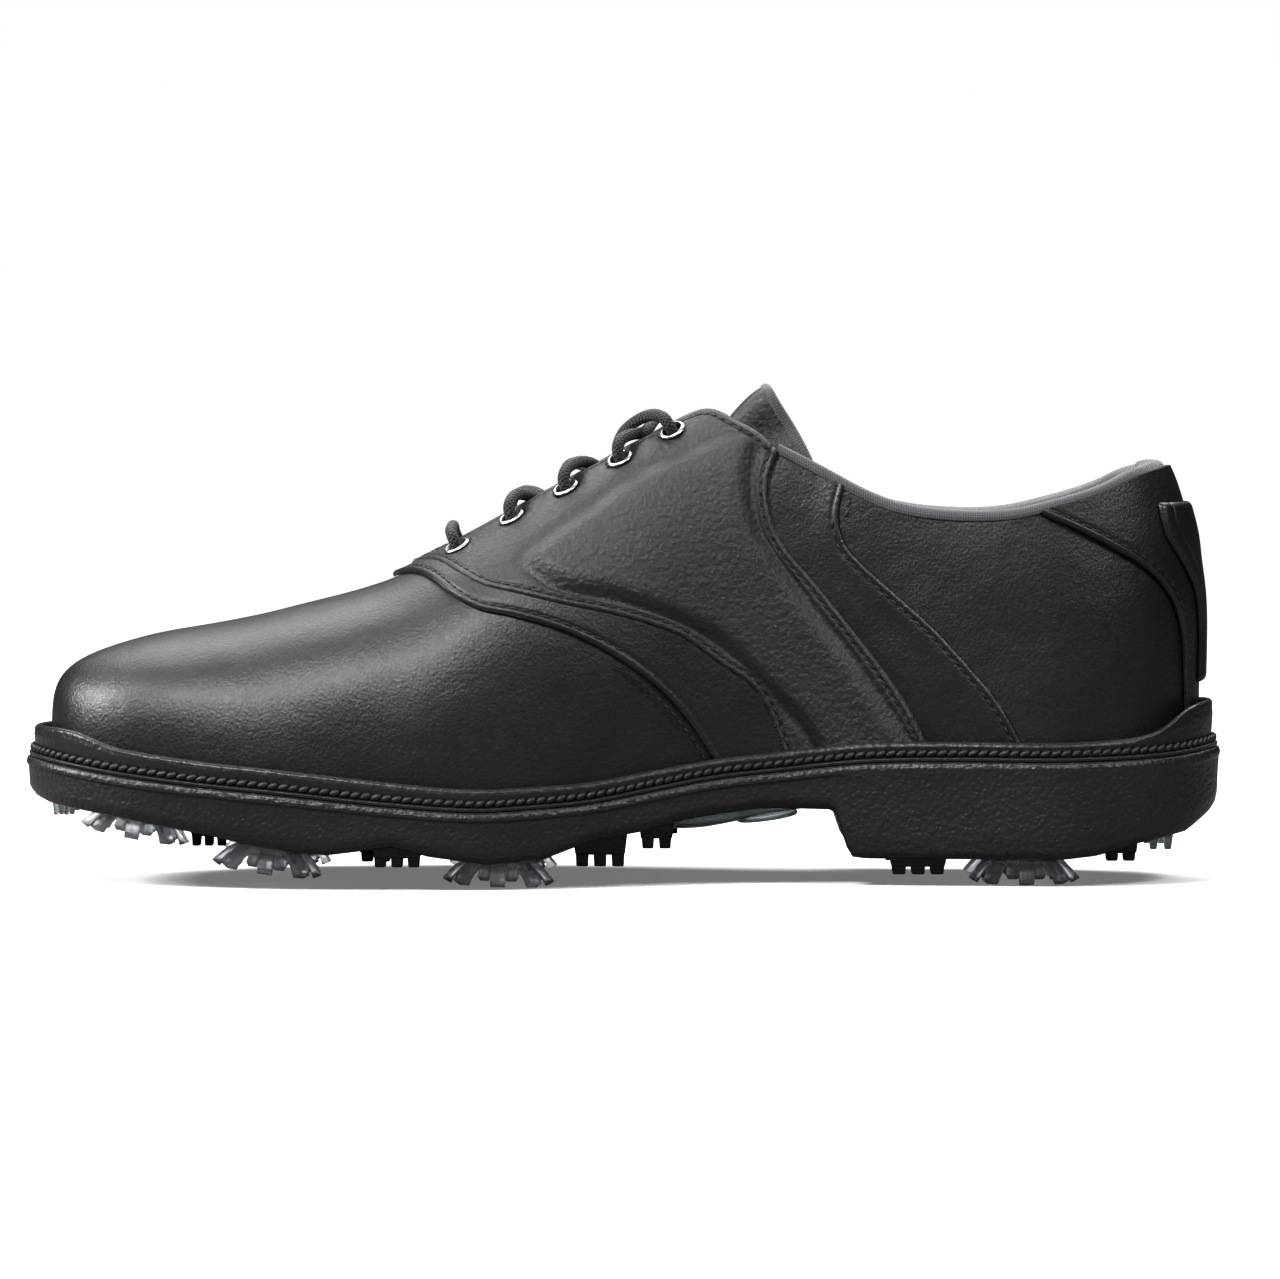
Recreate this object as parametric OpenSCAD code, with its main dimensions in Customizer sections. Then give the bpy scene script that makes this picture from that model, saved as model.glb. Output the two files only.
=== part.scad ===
// Spiked golf shoe for the right foot: saddle upper on a moulded cup sole.
// X runs from the toe (-X) to the heel (+X), the inner side of the foot faces -Y,
// and the tips of the cleats stand on z = 0.

/* [Overall] */
// Length of the outsole, toe to heel
shoe_len = 300; // [250:1:360]
// Width of the outsole across the ball of the foot
sole_w = 106; // [88:1:128]
// Height of the top of the lacing above the ground
instep_h = 119; // [112:1:132]

/* [Upper] */
// Distance from the edge of the sole to the outer face of the upper
upper_inset = 6; // [5:0.5:8]
// Thickness of the upper leather
leather_t = 1.2; // [0.8:0.1:1.6]
// Thickness of the overlays: saddle, trims and heel panel
overlay_t = 1.2; // [0.8:0.1:1.6]
// Thickness of the moulded back strap
strap_t = 1.5; // [1:0.1:2.5]
// Thickness of the stiffeners and the foam backing
backing_t = 1.05; // [0.6:0.05:1.4]
// Thickness of the lining
lining_t = 1.25; // [0.8:0.05:1.6]
// Glue line between two layers
layer_gap = 0.35; // [0.3:0.05:0.5]
// Depth by which the padded collar swells inwards
pad_swell = 5; // [2:0.5:6]
// Height of the textile binding along the collar
binding_h = 2.7; // [2:0.1:4]

/* [Tongue and lacing] */
// Thickness of the tongue leather
tongue_t = 1.2; // [1:0.1:1.6]
// Thickness of the tongue's padded lining
tongue_pad_t = 1.8; // [1:0.1:2.2]
// Diameter of the round lace
lace_d = 3; // [2.4:0.1:3.6]
// Outer diameter of an eyelet
eyelet_d = 7; // [6.4:0.1:8]
// Clear bore of an eyelet
eyelet_bore = 4.8; // [4.4:0.1:5]
// Length of a lace tip
aglet_len = 22; // [12:1:26]

/* [Sole] */
// Thickness of the outsole floor over the cleats
floor_t = 8.5; // [7:0.1:9.5]
// Thickness of the outsole floor in the waist
waist_floor_t = 3.2; // [2.5:0.1:3.4]
// Height of the welt lip above the stitch line
lip_h = 4; // [3:0.5:6]
// Thickness of the welt lip
lip_t = 1.6; // [1:0.1:1.7]
// Diameter of the welt stitching cord
stitch_d = 1.8; // [1.2:0.1:2]
// Thickness of the insole board
board_t = 1.8; // [1.2:0.1:1.8]
// Thickness of the sock liner
sock_t = 4; // [3:0.5:6]

/* [Cleats] */
// Diameter of a cleat over its legs
cleat_d = 27.6; // [24:0.2:28]
// Height of a cleat below its seat
cleat_h = 6.8; // [5:0.1:8]
// Number of legs on a cleat
cleat_legs = 8; // [6:1:10]
// Diameter of a cleat receptacle
socket_d = 20; // [18:0.5:21]
// Depth of a cleat receptacle
socket_h = 6.4; // [5.5:0.1:6.6]
// Diameter of the cleat's stud
stud_d = 11.6; // [9.6:0.1:14]
// Length of the cleat's stud
stud_h = 4.4; // [3:0.1:4.4]

/* [Hidden] */
$fn = 48;
eps = 0.01;
turn_gap = 0.2;    // clearance round what turns
fit_gap = 0.1;     // clearance between pieces of the sole
base_len = 300;
base_w = 106;
base_h = 119;
kx = shoe_len / base_len;
ky = sole_w / base_w;
kz = instep_h / base_h;

// Stations: k is the distance from the middle along the shoe. Past toe_k and heel_k
// it runs round the toe and the heel, a quarter turn for each arc length.
toe_k = -90 * kx;
heel_k = 105 * kx;
toe_arc = 60;
heel_arc = 55;
tip_k = toe_k - toe_arc;
back_k = heel_k + heel_arc;
toe_power = 2 / 2.3;
heel_power = 2 / 2.1;
dome_power = 0.42;
wall_power = 2.3;
bulge = 0.05;

// Plan of the sole at the base size: [x, half width], [x, middle line]
plan_half = [[-150, 42], [-110, 45.5], [-85, 50], [-60, 52.5], [-40, 53], [-20, 51], [0, 47.5],
    [20, 42.5], [40, 38.5], [60, 37], [80, 37.5], [105, 38], [150, 37]];
plan_mid = [[-150, -8], [-110, -4], [-85, -1.5], [-60, -0.5], [-40, 0], [-20, 1.5], [0, 3.5],
    [20, 5], [40, 4.5], [60, 2.5], [80, 0.5], [105, -1.5], [150, -2.5]];
ridge_mid = [[-150, -8], [-110, -5], [-60, -3], [0, -2.5], [150, -2.5]];
// Side view at the base size: [x, height]
stitch_line = [[-150, 34], [-137, 31.8], [-124, 29.8], [-105, 27.5], [-86, 25.7], [-60, 23], [-38, 21.4],
    [-23, 22], [-8, 23.3], [8, 26.2], [23, 28.8], [39, 30.5], [60, 32.6], [82, 33.1], [109, 33.1],
    [136, 34.2], [150, 36]];
lip_extra = [[-150, 1.5], [-137, 3], [-124, 0.8], [-60, 0], [20, -1], [60, -1], [120, -1],
    [132, 0.5], [141, 5.5], [150, 6]];
bottom_line = [[-150, 22.5], [-143, 20.5], [-124, 17.5], [-105, 14], [-88, 10.5], [-73, 8.8], [-57, 10.8],
    [-48, 8.5], [-33, 6.4], [-20, 7.6], [-8, 12], [4, 14], [16, 17], [34, 19.5], [52, 19],
    [56, 7.4], [60, 6.9], [109, 6.9], [117, 7.8], [127, 10.6], [140, 13.2], [150, 19.5]];
floor_share = [[-20, 1], [-8, 0.2], [0, 0], [52, 0], [56, 1]];   // 1 for the full floor, 0 for the waist's
ridge_line = [[-150, 62.5], [-131, 63], [-118, 63.8], [-105, 64.6], [-93, 66.4], [-80, 69.5], [-68, 72.6],
    [-58, 76], [-50, 80], [-30, 91], [-10, 102.2], [10, 113.4], [20, 119], [35, 127], [50, 132.5],
    [70, 134], [90, 132.5], [120, 130.5], [160, 130]];
back_line = [[34, 142.8], [50, 143], [64, 143.2], [72, 142.9], [80, 141.9], [87, 141], [95, 138.9],
    [101, 136.9], [106, 134.6]];

// Seams in side view at the base size: [station, height], from the sole upwards.
// A height below the stitch line means the feather edge, one above the ridge means the ridge.
low = 0;
high = 999;
trim_front = [[23, low], [12.5, 45], [5.5, 51.5], [-3.5, 58], [-15, 63.5], [-31, 68], [-42, 71.7], [-58,
    high]];
saddle_front = [[40, low], [37, 42.5], [31, 49.5], [22, 56], [12.5, 62.5], [4, 65.5], [-8, 68.5], [-23,
    71.5],
    [-38.5, 75.7], [-53, high]];
saddle_back = [[76, low], [69.5, 46.5], [57, 63.5], [49, 73.5], [40, 84], [36.7, 91.3], [35.7, 99.5],
    [38.5, 107.5]];
vamp_back = [[49, low], [42, 45], [30, 58], [10, 68.5], [-14, 74.5], [-35.5, 78.5], [-45, 80.7],
    [-49.5, high]];
quarter_front = [[66, low], [60, 46], [47, 63], [38, 74], [30, 85], [28, 92], [28, 101], [31, 111]];
quarter_seam = [[99.5, low], [93, 45.5], [86.5, 53.5], [77.5, 63.5], [68.5, 71.7], [58.7, 80.5], [54, 87],
    [53.5, 92.3], [55, 99]];
heel_seam = [[145, low], [144.5, 48], [143.5, 57], [141.5, 65], [136.5, 72.5], [129.5, 78.5], [121, 83.3],
    [112.5, 87.8], [103, 92.4]];
strap_edge = [[151, 50], [151.5, 62.5], [149, 71.5], [143, 79], [136, 87], [136, 94.5]];
lining_front = [[-5, low], [-25, 60], [-41, 78], [-48, high]];
collar_line = [[38.5, 107.5], [42.5, 105.5], [50.5, 101.3], [59.5, 96.5], [68.5, 93], [82, 91.2], [96,
    91.5],
    [109, 94.5], [120, 97.6], [132, 101.3], [149, 103.3], [160, 103.5]];
// The edge of the lacing opening and the rounded top corner: [station, angle round the upper]
facing_edge = [[-44, 83], [-20, 82], [8, 80.5], [17, 79], [22, 75], [28, 64], [33.5, 56.5]];
eyelet_rows = [-41, -27.5, -14, -0.5, 12.5];
eyelet_angle = 73.5;

// Layers of the upper: distance outwards from the leather's outer face
leather_in = -leather_t;
backing_out = leather_in - layer_gap;
backing_in = backing_out - backing_t;
lining_out = backing_in - layer_gap;
lining_in = lining_out - lining_t;
overlay_in = layer_gap + 0.1;
overlay_out = overlay_in + overlay_t;
strap_in = overlay_out + layer_gap;
strap_out = strap_in + strap_t;
lace_room = lace_d + 1.6;
tongue_out = lining_in - lace_room;
tongue_mid = tongue_out - tongue_t;
tongue_pad_out = tongue_mid - layer_gap;
tongue_pad_in = tongue_pad_out - tongue_pad_t;
tongue_rise = 6;   // how far the tongue's middle comes up behind the lacing

// Insets of the sole's pieces from the edge of the sole
lip_in = upper_inset - overlay_out - 0.5;
lip_out = lip_in - lip_t;
flange_in = upper_inset - lining_in - 0.3;
board_in = flange_in + 0.7;
cavity_in = board_in + 2.2;
sock_in = board_in + 1.4;

// Cleats: [x, y, height of the seat, tilt] with the toe cleat first
seats = [[-122, -7, 17.6, 11], [-88, -27, 10.1, 8], [-88, 25, 10.1, 8], [-31, -31, 7.3, 2],
    [-31, 31, 7.3, 2], [100, -16.5, cleat_h, 0], [100, 13.5, cleat_h, 0]];
seat_room = 0.7;      // least gap between cleats beside each other, on each one's side

// Y of the seat i: seats side by side keep apart by a cleat's width
function seat_y(i) =
    let (mates = [for (m = seats) if (m[0] == seats[i][0] && m[1] != seats[i][1]) m[1]])
    len(mates) == 0 ? seats[i][1] * ky
    : let (apart = max(abs(seats[i][1] - mates[0]) / 2 * ky, cleat_d / 2 + seat_room))
        (seats[i][1] + mates[0]) / 2 * ky + sign(seats[i][1] - mates[0]) * apart;

// ---- Curves ----

// Smooth value at x of a table of [x, value]
function curve(t, x) =
    let (n = len(t) - 1, v = min(max(x, t[0][0]), t[n][0]),
         i = max([for (j = [0:n - 1]) if (j == 0 || v >= t[j][0]) j]),
         h = t[i + 1][0] - t[i][0], u = (v - t[i][0]) / h,
         a = slope(t, i) * h, b = slope(t, i + 1) * h)
    (2*u^3 - 3*u^2 + 1) * t[i][1] + (u^3 - 2*u^2 + u) * a + (3*u^2 - 2*u^3) * t[i + 1][1] + (u^3 - u^2) * b;

// Slope of a table at its entry i
function slope(t, i) = let (p = t[max(i - 1, 0)], q = t[min(i + 1,
    len(t) - 1)]) (q[1] - p[1]) / (q[0] - p[0]);

// Point at the share u of a smooth line through the points p
function along(p, u) =
    let (n = len(p) - 1, i = min(floor(u * n), n - 1), f = u * n - i,
         a = (p[i + 1] - p[max(i - 1, 0)]) / (i == 0 ? 1 : 2),
         b = (p[min(i + 2, n)] - p[i]) / (i == n - 1 ? 1 : 2))
    (2*f^3 - 3*f^2 + 1) * p[i] + (f^3 - 2*f^2 + f) * a + (3*f^2 - 2*f^3) * p[i + 1] + (f^3 - f^2) * b;

function blend01(u) = let (v = min(max(u, 0), 1)) v * v * (3 - 2 * v);
function unit(v) = v / norm(v);
function mirrored(p) = [for (q = p) [2 * back_k - q[0], q[1]]];
function over_top(p) = [for (q = p) [q[0], 180 - q[1]]];
function reversed(p) = [for (i = [len(p) - 1:-1:0]) p[i]];

// ---- The shoe's outer surface ----

function stitch_z(x) = curve(stitch_line, x / kx);
function lip_z(x) = stitch_z(x) + lip_h + curve(lip_extra, x / kx);
function bottom_z(x) = lookup(x / kx, bottom_line);
function turn(k) = k < toe_k ? 90 * (toe_k - k) / toe_arc : k > heel_k ? 90 * (k - heel_k) / heel_arc : 0;
function plan_x(k, inset) =
    k < toe_k ? toe_k - (toe_k + shoe_len / 2 - inset) * sin(turn(k))^toe_power :
    k > heel_k ? heel_k + (shoe_len / 2 - inset - heel_k) * sin(turn(k))^heel_power : k;
function plan_w(k, inset) =
    (curve(plan_half, plan_x(k, inset) / kx) * ky - inset)
    * cos(turn(k))^(k < toe_k ? toe_power : k > heel_k ? heel_power : 1);
function ridge_z(k) =
    let (x = plan_x(min(k, heel_k), upper_inset), f = stitch_z(x),
         top = f + (curve(ridge_line, (k > heel_k ? k : x) / kx) - 26) * kz - (f - 26))
    k < toe_k ? f + (top - f) * cos(turn(k))^dome_power : top;

// Angle round the upper (0 at the feather, 90 at the ridge) for a height z at station k
function wall_angle(k, z) =
    let (f = stitch_z(plan_x(k, upper_inset)), r = ridge_z(k))
    z <= low ? 0 : z >= high ? 90 : asin(min(max((z * kz + 26 * (1 - kz) - f) / (r - f), 0),
        1)^(wall_power / 2));

// Point of the outer face: station k, angle a up to 180 over the ridge, side s
function face_point(k, a, s) =
    let (q = min(max(sin(a), 0), 1)^(2 / wall_power), g = abs(cos(a))^(2 / wall_power),
        side = a > 90 ? -s : s,
         x0 = plan_x(k, upper_inset), f = stitch_z(x0), z = f + (ridge_z(k) - f) * q,
         back = curve(back_line, z) + (shoe_len - base_len) / 2,
         x = k > heel_k ? heel_k + (back - heel_k) * sin(turn(k))^heel_power : x0,
         mid = curve(plan_mid, x / kx), top = curve(ridge_mid, x / kx),
         swell = 1 + bulge * sin(2 * a)^2 * (k > 0 ? 1 - blend01(k / 40) : 1))
    [x, mid * g + top * (1 - g) + side * plan_w(k, upper_inset) * g * swell, z];

// Outward direction of the face
function face_normal(k, a, s) =
    let (h = 0.4, kk = max(k, tip_k + 1),
         aa = min(max(a, 0.6), 179.4),
         d1 = face_point(min(kk + h, back_k), aa, s) - face_point(kk - h, aa, s),
         d2 = face_point(kk, aa + h, s) - face_point(kk, aa - h, s))
    k <= tip_k ? [-1, 0, 0] : unit(cross(d1, d2)) * -s;

function surf(k, a, s, d) = face_point(k, a, s) + d * face_normal(k, a, s);

// Point of a wrap: p = [station, angle]. A station past the back runs on up the other side.
function wrap(p, s, d) = p[0] > back_k ? surf(2 * back_k - p[0], p[1], -s, d) : surf(p[0], p[1], s, d);

// A seam given by heights becomes a seam given by angles, with its points evenly spaced
function seam(p) = even([for (q = p) [q[0] * kx, wall_angle(q[0] * kx, q[1])]]);
function even(p, n = 12, m = 60) =
    let (q = [for (i = [0:m]) along(p, i / m)],
         far = [for (i = 0, s = 0; i <= m; i = i + 1, s = i <= m ? s + norm(q[i] - q[i - 1]) : s) s],
         table = [for (i = [0:m]) [far[i], i / m]])
    [for (i = [0:n]) along(p, lookup(far[m] * i / n, table))];
function last(p) = p[len(p) - 1];
function graded(p) = [for (q = p) [q[0] * kx, q[1]]];

// ---- Solids ----

// Grid of [station, angle] filled between four edges, each a list of points
function patch(left, right, bottom, top, cols, rows) =
    [for (i = [0:cols]) let (u = i / cols) [for (j = [0:rows]) let (v = j / rows)
        along(left, v) * (1 - u) + along(right, v) * u + along(bottom, u) * (1 - v) + along(top, u) * v
        - left[0] * (1 - u) * (1 - v) - right[0] * u * (1 - v)
        - last(left) * (1 - u) * v - last(right) * u * v]];

// Closed sheet between two equal grids of points. With a pole the first column is one point.
module sheet(outer, inner, pole = false) {
    nc = len(outer);
    nr = len(outer[0]);
    per = pole ? 1 + (nc - 1) * nr : nc * nr;
    function at(i, j, side) = side * per + (pole ? (i == 0 ? 0 : 1 + (i - 1) * nr + j) : i * nr + j);
    function quad(a, b, c, d) = [if (a != b && b != c && a != c) [a, b, c],
        if (a != c && c != d && a != d) [a, c, d]];
    function flat(g) = pole ? concat([g[0][0]], [for (i = [1:nc - 1]) each g[i]]) : [for (c = g) each c];
    faces = concat(
        [for (i = [0:nc - 2]) for (j = [0:nr - 2]) each
            quad(at(i, j, 0), at(i, j + 1, 0), at(i + 1, j + 1, 0), at(i + 1, j, 0))],
        [for (i = [0:nc - 2]) for (j = [0:nr - 2]) each
            quad(at(i, j, 1), at(i + 1, j, 1), at(i + 1, j + 1, 1), at(i, j + 1, 1))],
        [for (i = [0:nc - 2]) each quad(at(i, 0, 0), at(i + 1, 0, 0), at(i + 1, 0, 1), at(i, 0, 1))],
        [for (i = [0:nc - 2]) each
            quad(at(i, nr - 1, 0), at(i, nr - 1, 1), at(i + 1, nr - 1, 1), at(i + 1, nr - 1, 0))],
        [for (j = [0:nr - 2]) if (!pole) each quad(at(0, j, 0), at(0, j, 1), at(0, j + 1, 1), at(0,
            j + 1, 0))],
        [for (j = [0:nr - 2]) each
            quad(at(nc - 1, j, 0), at(nc - 1, j + 1, 0), at(nc - 1, j + 1, 1), at(nc - 1, j, 1))]);
    polyhedron(concat(flat(outer), flat(inner)), [for (f = faces) side_of(outer) > 0 ? f : [f[2], f[1],
        f[0]]]);
}

// +1 when a grid's columns and rows already turn outwards
function side_of(g) =
    let (i = floor((len(g) - 1) / 2), j = floor((len(g[0]) - 1) / 2), p = g[i][j],
         n = cross(g[i][j + 1] - p, g[i + 1][j] - p))
    n * (p - [p[0] * 0.9, 0, 55]) > 0 ? -1 : 1;

// Leather panel over a patch, from depth d_in to depth d_out
module panel(grid, s, d_out, d_in, pole = false) {
    sheet([for (c = grid) [for (p = c) wrap(p, s, d_out)]], [for (c = grid) [for (p = c) wrap(p, s,
        d_in)]], pole);
}

// Stations of the sole's rings: even steps, with the steep heel breast set apart
breast = [52 * kx, 56 * kx];
function steps(a, b, n) = [for (i = [0:n - 1]) a + (b - a) * i / n];
ring_k = concat(steps(tip_k, toe_k, 8), steps(toe_k, breast[0], 18), [breast[0]],
    steps(breast[1], heel_k, 6), steps(heel_k, back_k, 7), [back_k]);
ring_n = len(ring_k);

// Ring of points at an inset, each at the height that level gives
function ring(inset, level, drop = 0) =
    let (half = [for (k = ring_k) let (x = plan_x(k, inset)) [x, curve(plan_mid, x / kx), plan_w(k,
        inset), x]],
         h = [for (p = half) ring_z(level, p[0]) + drop])
    concat([for (i = [0:ring_n - 1]) [half[i][0], half[i][1] - half[i][2], h[i]]],
        [for (i = [ring_n - 2:-1:1]) [half[i][0], half[i][1] + half[i][2], h[i]]]);

function ring_z(level, x) =
    level == "stitch" ? stitch_z(x) :
    level == "lip" ? lip_z(x) :
    level == "bottom" ? bottom_z(x) :
    level == "wall" ? (bottom_z(x) + stitch_z(x)) / 2 :
    let (b = bottom_z(x), t = waist_floor_t + (floor_t - waist_floor_t) * lookup(x / kx, floor_share))
    b + min(t, stitch_z(x) - 3.2 - b);

// Solid through rings, joined round into a hoop or capped at both ends
module loft(rings, hoop = false) {
    n = len(rings[0]);
    m = len(rings);
    last = hoop ? m - 1 : m - 2;
    function cap(r, flip) = [for (i = [0:ring_n - 2])
        let (a = r * n + i, b = r * n + i + 1, c = r * n + (n - i - 1) % n, d = r * n + (n - i) % n) each
        [for (f = [[a, b, c], [a, c, d]]) if (f[0] != f[1] && f[1] != f[2] && f[0] != f[2])
            flip ? [f[2], f[1], f[0]] : f]];
    faces = concat(
        [for (r = [0:last]) for (i = [0:n - 1])
            let (a = r * n + i, b = r * n + (i + 1) % n, c = ((r + 1) % m) * n + (i + 1) % n,
                 d = ((r + 1) % m) * n + i) each [[a, c, b], [a, d, c]]],
        hoop ? [] : cap(0, false), hoop ? [] : cap(m - 1, true));
    polyhedron([for (r = rings) each r], faces);
}

// Round tube through points
module tube(p, d, sides) {
    n = len(p);
    t = [for (i = [0:n - 1]) unit(p[min(i + 1, n - 1)] - p[max(i - 1, 0)])];
    side = [for (i = 0, v = unit(cross(t[0], [0, 0, 1])); i < n;
        i = i + 1, v = i < n ? unit(v - (v * t[i]) * t[i]) : v) v];
    pts = [for (i = [0:n - 1]) let (a = side[i], b = cross(t[i], a)) for (j = [0:sides - 1])
        let (w = 360 * j / sides) p[i] + d / 2 * (a * cos(w) + b * sin(w))];
    faces = concat(
        [for (i = [0:n - 2]) for (j = [0:sides - 1])
            let (a = i * sides + j, b = i * sides + (j + 1) % sides) each
            [[a, b, b + sides], [a, b + sides, a + sides]]],
        [[for (j = [sides - 1:-1:0]) j]], [[for (j = [0:sides - 1]) (n - 1) * sides + j]]);
    polyhedron(pts, [for (f = faces) reversed(f)]);
}

// Places children at a cleat seat, their z axis square to the sole
module at_seat(i) {
    translate([seats[i][0] * kx, seat_y(i), seats[i][2]]) rotate([0, seats[i][3], 0]) children();
}

// Places children on the upper at an eyelet, their z axis pointing outwards
module at_eyelet(row, s) {
    k = eyelet_rows[row] * kx;
    n = face_normal(k, eyelet_angle, s);
    translate(face_point(k, eyelet_angle, s))
        rotate([0, acos(n[2]), atan2(n[1], n[0])])
            children();
}

// ---- The sole ----

boss_wall = 2.5;   // rubber round a receptacle
bore_past = 3;     // how far a receptacle's bore is cut past its mouth
// Lugs moulded into the outsole: [x, y, length, width, height of the tip]
lugs = [[-56, -41, 13, 7, 5.5], [-56, 41, 13, 7, 5.5], [-60, 0, 12, 9, 5.5], [-6, -30, 14, 7, 5],
    [-6, 34, 14, 7, 5], [8, -24, 9, 6, 9], [10, 36, 9, 6, 9], [-8, 2, 10, 12, 6.5], [-105, 3, 10, 8, 8],
    [-62, -20, 9, 6, 5.5], [-62, 20, 9, 6, 5.5], [73, -27, 15, 7, 2.8], [73, 26, 15, 7, 2.8],
    [73, 0, 10, 12, 3.4], [124, -17, 9, 6, 5.5], [124, 12, 9, 6, 5.5]];

module outsole() {
    color("#1d1f1e")
        difference() {
            union() {
                loft([ring(8, "bottom", 1.2), ring(3.2, "bottom"), ring(1, "bottom", 1.5), ring(0.2,
                    "wall"),
                    ring(0, "stitch", -3.5), ring(0.8, "stitch", -2), ring(cavity_in, "stitch", -2),
                    ring(cavity_in, "floor")]);
                for (i = [0:len(seats) - 1])
                    at_seat(i) cylinder(d = socket_d + 2 * boss_wall, h = socket_h);
                for (l = lugs) {
                    top = bottom_z(l[0] * kx) + 2.4;
                    translate([l[0] * kx - l[2] / 2, l[1] * ky - l[3] / 2, l[4]])
                        cube([l[2], l[3], top - l[4]]);
                }
            }
            for (i = [0:len(seats) - 1])
                at_seat(i) translate([0, 0, -bore_past])
                    cylinder(d = socket_d + 2 * fit_gap, h = socket_h + fit_gap + bore_past);
            for (p = concat(toe_posts, heel_posts))
                post(p, fit_gap);
        }
}

module cleat_receptacles() {
    color("#2a2a2c")
        for (i = [0:len(seats) - 1])
            at_seat(i)
                difference() {
                    cylinder(d = socket_d, h = socket_h);
                    translate([0, 0, -eps]) cylinder(d = stud_d + 2 * turn_gap,
                        h = stud_h + 2 * turn_gap + eps);
                }
}

// Cleat: a disc under the seat, a stud up into the receptacle and splayed legs
disc_t = 2.2;
disc_d = 17;
module cleat(i) {
    color("#8f939a")
        at_seat(i) {
            translate([0, 0, -disc_t - turn_gap]) cylinder(d = disc_d, h = disc_t);
            translate([0, 0, -turn_gap - eps]) cylinder(d = stud_d, h = stud_h + turn_gap + eps);
            for (n = [0:cleat_legs - 1])
                rotate([0, 0, 360 * n / cleat_legs])
                    rotate([90, 0, 0])
                        translate([0, 0, -1.6])
                            linear_extrude(3.2)
                                polygon([[5, -turn_gap], [9.5, -turn_gap], [cleat_d / 2 - 1, -2.2],
                                    [cleat_d / 2, -cleat_h], [cleat_d / 2 - 2.6, -cleat_h], [8.4, -2.9],
                                        [5, -2.2]]);
            translate([0, 0, -cleat_h + 1.6]) cylinder(d1 = 3, d2 = 7, h = cleat_h - disc_t - 1.6);
        }
}

// Clear plate under the waist: [x, height of its underside]
insert_line = [[6, 13.4], [12, 12.6], [19, 12.8], [26, 14], [33, 15.6], [40, 17], [47, 18]];
insert_w = 19;
module arch_insert() {
    function half(x) = insert_w * ky * sqrt(1 - ((x - 26.5) / 21.5)^2) + 1;
    function top(x) = bottom_z(x * kx) + 0.9;
    grid = [for (p = insert_line) [for (j = [-4:4]) [p[0], j / 4]]];
    color("#6f7a7c")
        sheet([for (c = grid) [for (p = c) [p[0] * kx, 4 * ky + p[1] * half(p[0]), top(p[0])]]],
            [for (c = grid) [for (p = c) let (z = min(lookup(p[0], insert_line), top(p[0]) - 1.4))
                [p[0] * kx, 4 * ky + p[1] * half(p[0]),
                    top(p[0]) - 1 - (top(p[0]) - 1 - z) * (1 - p[1]^4)]]]);
}

// Small clear grips at the toe and the heel: posts held in pockets of the outsole,
// each [x, y, length, width, height of the tip]
toe_posts = [[-139.5, -16, 4.4, 3, 17], [-141.5, -8, 4.4, 3, 16.4], [-139.5, 0, 4.4, 3, 17]];
heel_posts = [[134, -18, 6, 5, 8.4], [135, -6, 6, 5, 8.4], [134, 6, 6, 5, 8.4]];
post_depth = 3;
module post(p, gap = 0) {
    top = bottom_z(p[0] * kx) + post_depth + gap;
    translate([p[0] * kx - p[2] / 2 - gap, p[1] * ky - p[3] / 2 - gap, p[4]])
        cube([p[2] + 2 * gap, p[3] + 2 * gap, top - p[4]]);
}
module toe_grip() {
    color("#8f939a") for (p = toe_posts) post(p);
}
module heel_grip() {
    color("#8f939a") for (p = heel_posts) post(p);
}

module welt() {
    color("#202220")
        loft([ring(flange_in, "stitch", -1.8), ring(lip_out, "stitch", -1.8), ring(lip_out, "lip"),
            ring(lip_in, "lip"), ring(lip_in, "stitch", -layer_gap), ring(flange_in, "stitch",
                -layer_gap)],
            hoop = true);
}

stitch_ring = ring(lip_out - stitch_d / 2 - 0.1, "stitch", 0.2);
module welt_stitching() {
    color("#161617")
        loft([for (w = [0:60:300]) [for (p = stitch_ring)
            let (out = unit([p[0] - min(max(p[0], toe_k), heel_k), p[1] - curve(plan_mid, p[0] / kx)]))
            p - [out[0], out[1], 0] * stitch_d / 2 * cos(w) + [0, 0, stitch_d / 2 * sin(w)]]],
                hoop = true);
}

shank_len = 88;
shank_w = 13;
shank_t = 1.5;
shank_rise = 9.715;   // how far its rear end lies above its front end
module at_shank() {
    translate([1 * kx, 2.5 * ky, 19.6]) rotate([0, -atan(shank_rise / (shank_len * kx)), 0]) children();
}

module shank() {
    color("#9a9da0")
        at_shank() translate([0, -shank_w / 2, 0]) cube([shank_len * kx, shank_w, shank_t]);
}

module midsole() {
    color("#5c5f63")
        difference() {
            loft([ring(cavity_in + 0.2, "floor", 2 * fit_gap), ring(cavity_in + 0.2, "stitch",
                -2 - fit_gap)]);
            at_shank()
                translate([-fit_gap, -shank_w / 2 - fit_gap, -fit_gap])
                    cube([shank_len * kx + 2 * fit_gap, shank_w + 2 * fit_gap, shank_t + 2 * fit_gap]);
        }
}

module insole_board() {
    color("#8a6f50")
        loft([ring(board_in, "stitch", -1.9), ring(board_in, "stitch", board_t - 1.9)]);
}

module sock_liner() {
    color("#3a3c40")
        loft([ring(sock_in, "stitch", board_t - 1.8), ring(sock_in, "stitch", board_t - 1.8 + sock_t)]);
}

// ---- The upper ----

function both(p) = concat(p, reversed(over_top(p)));

module vamp() {
    right = seam(vamp_back);
    color("#1b1b1d")
        panel(patch([for (w = [0, 90, 180]) [tip_k, w]], both(right), [[tip_k, 0], right[0]],
            [[tip_k, 180], [right[0][0], 180]], 21, 26), -1, 0, leather_in, pole = true);
}

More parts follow.
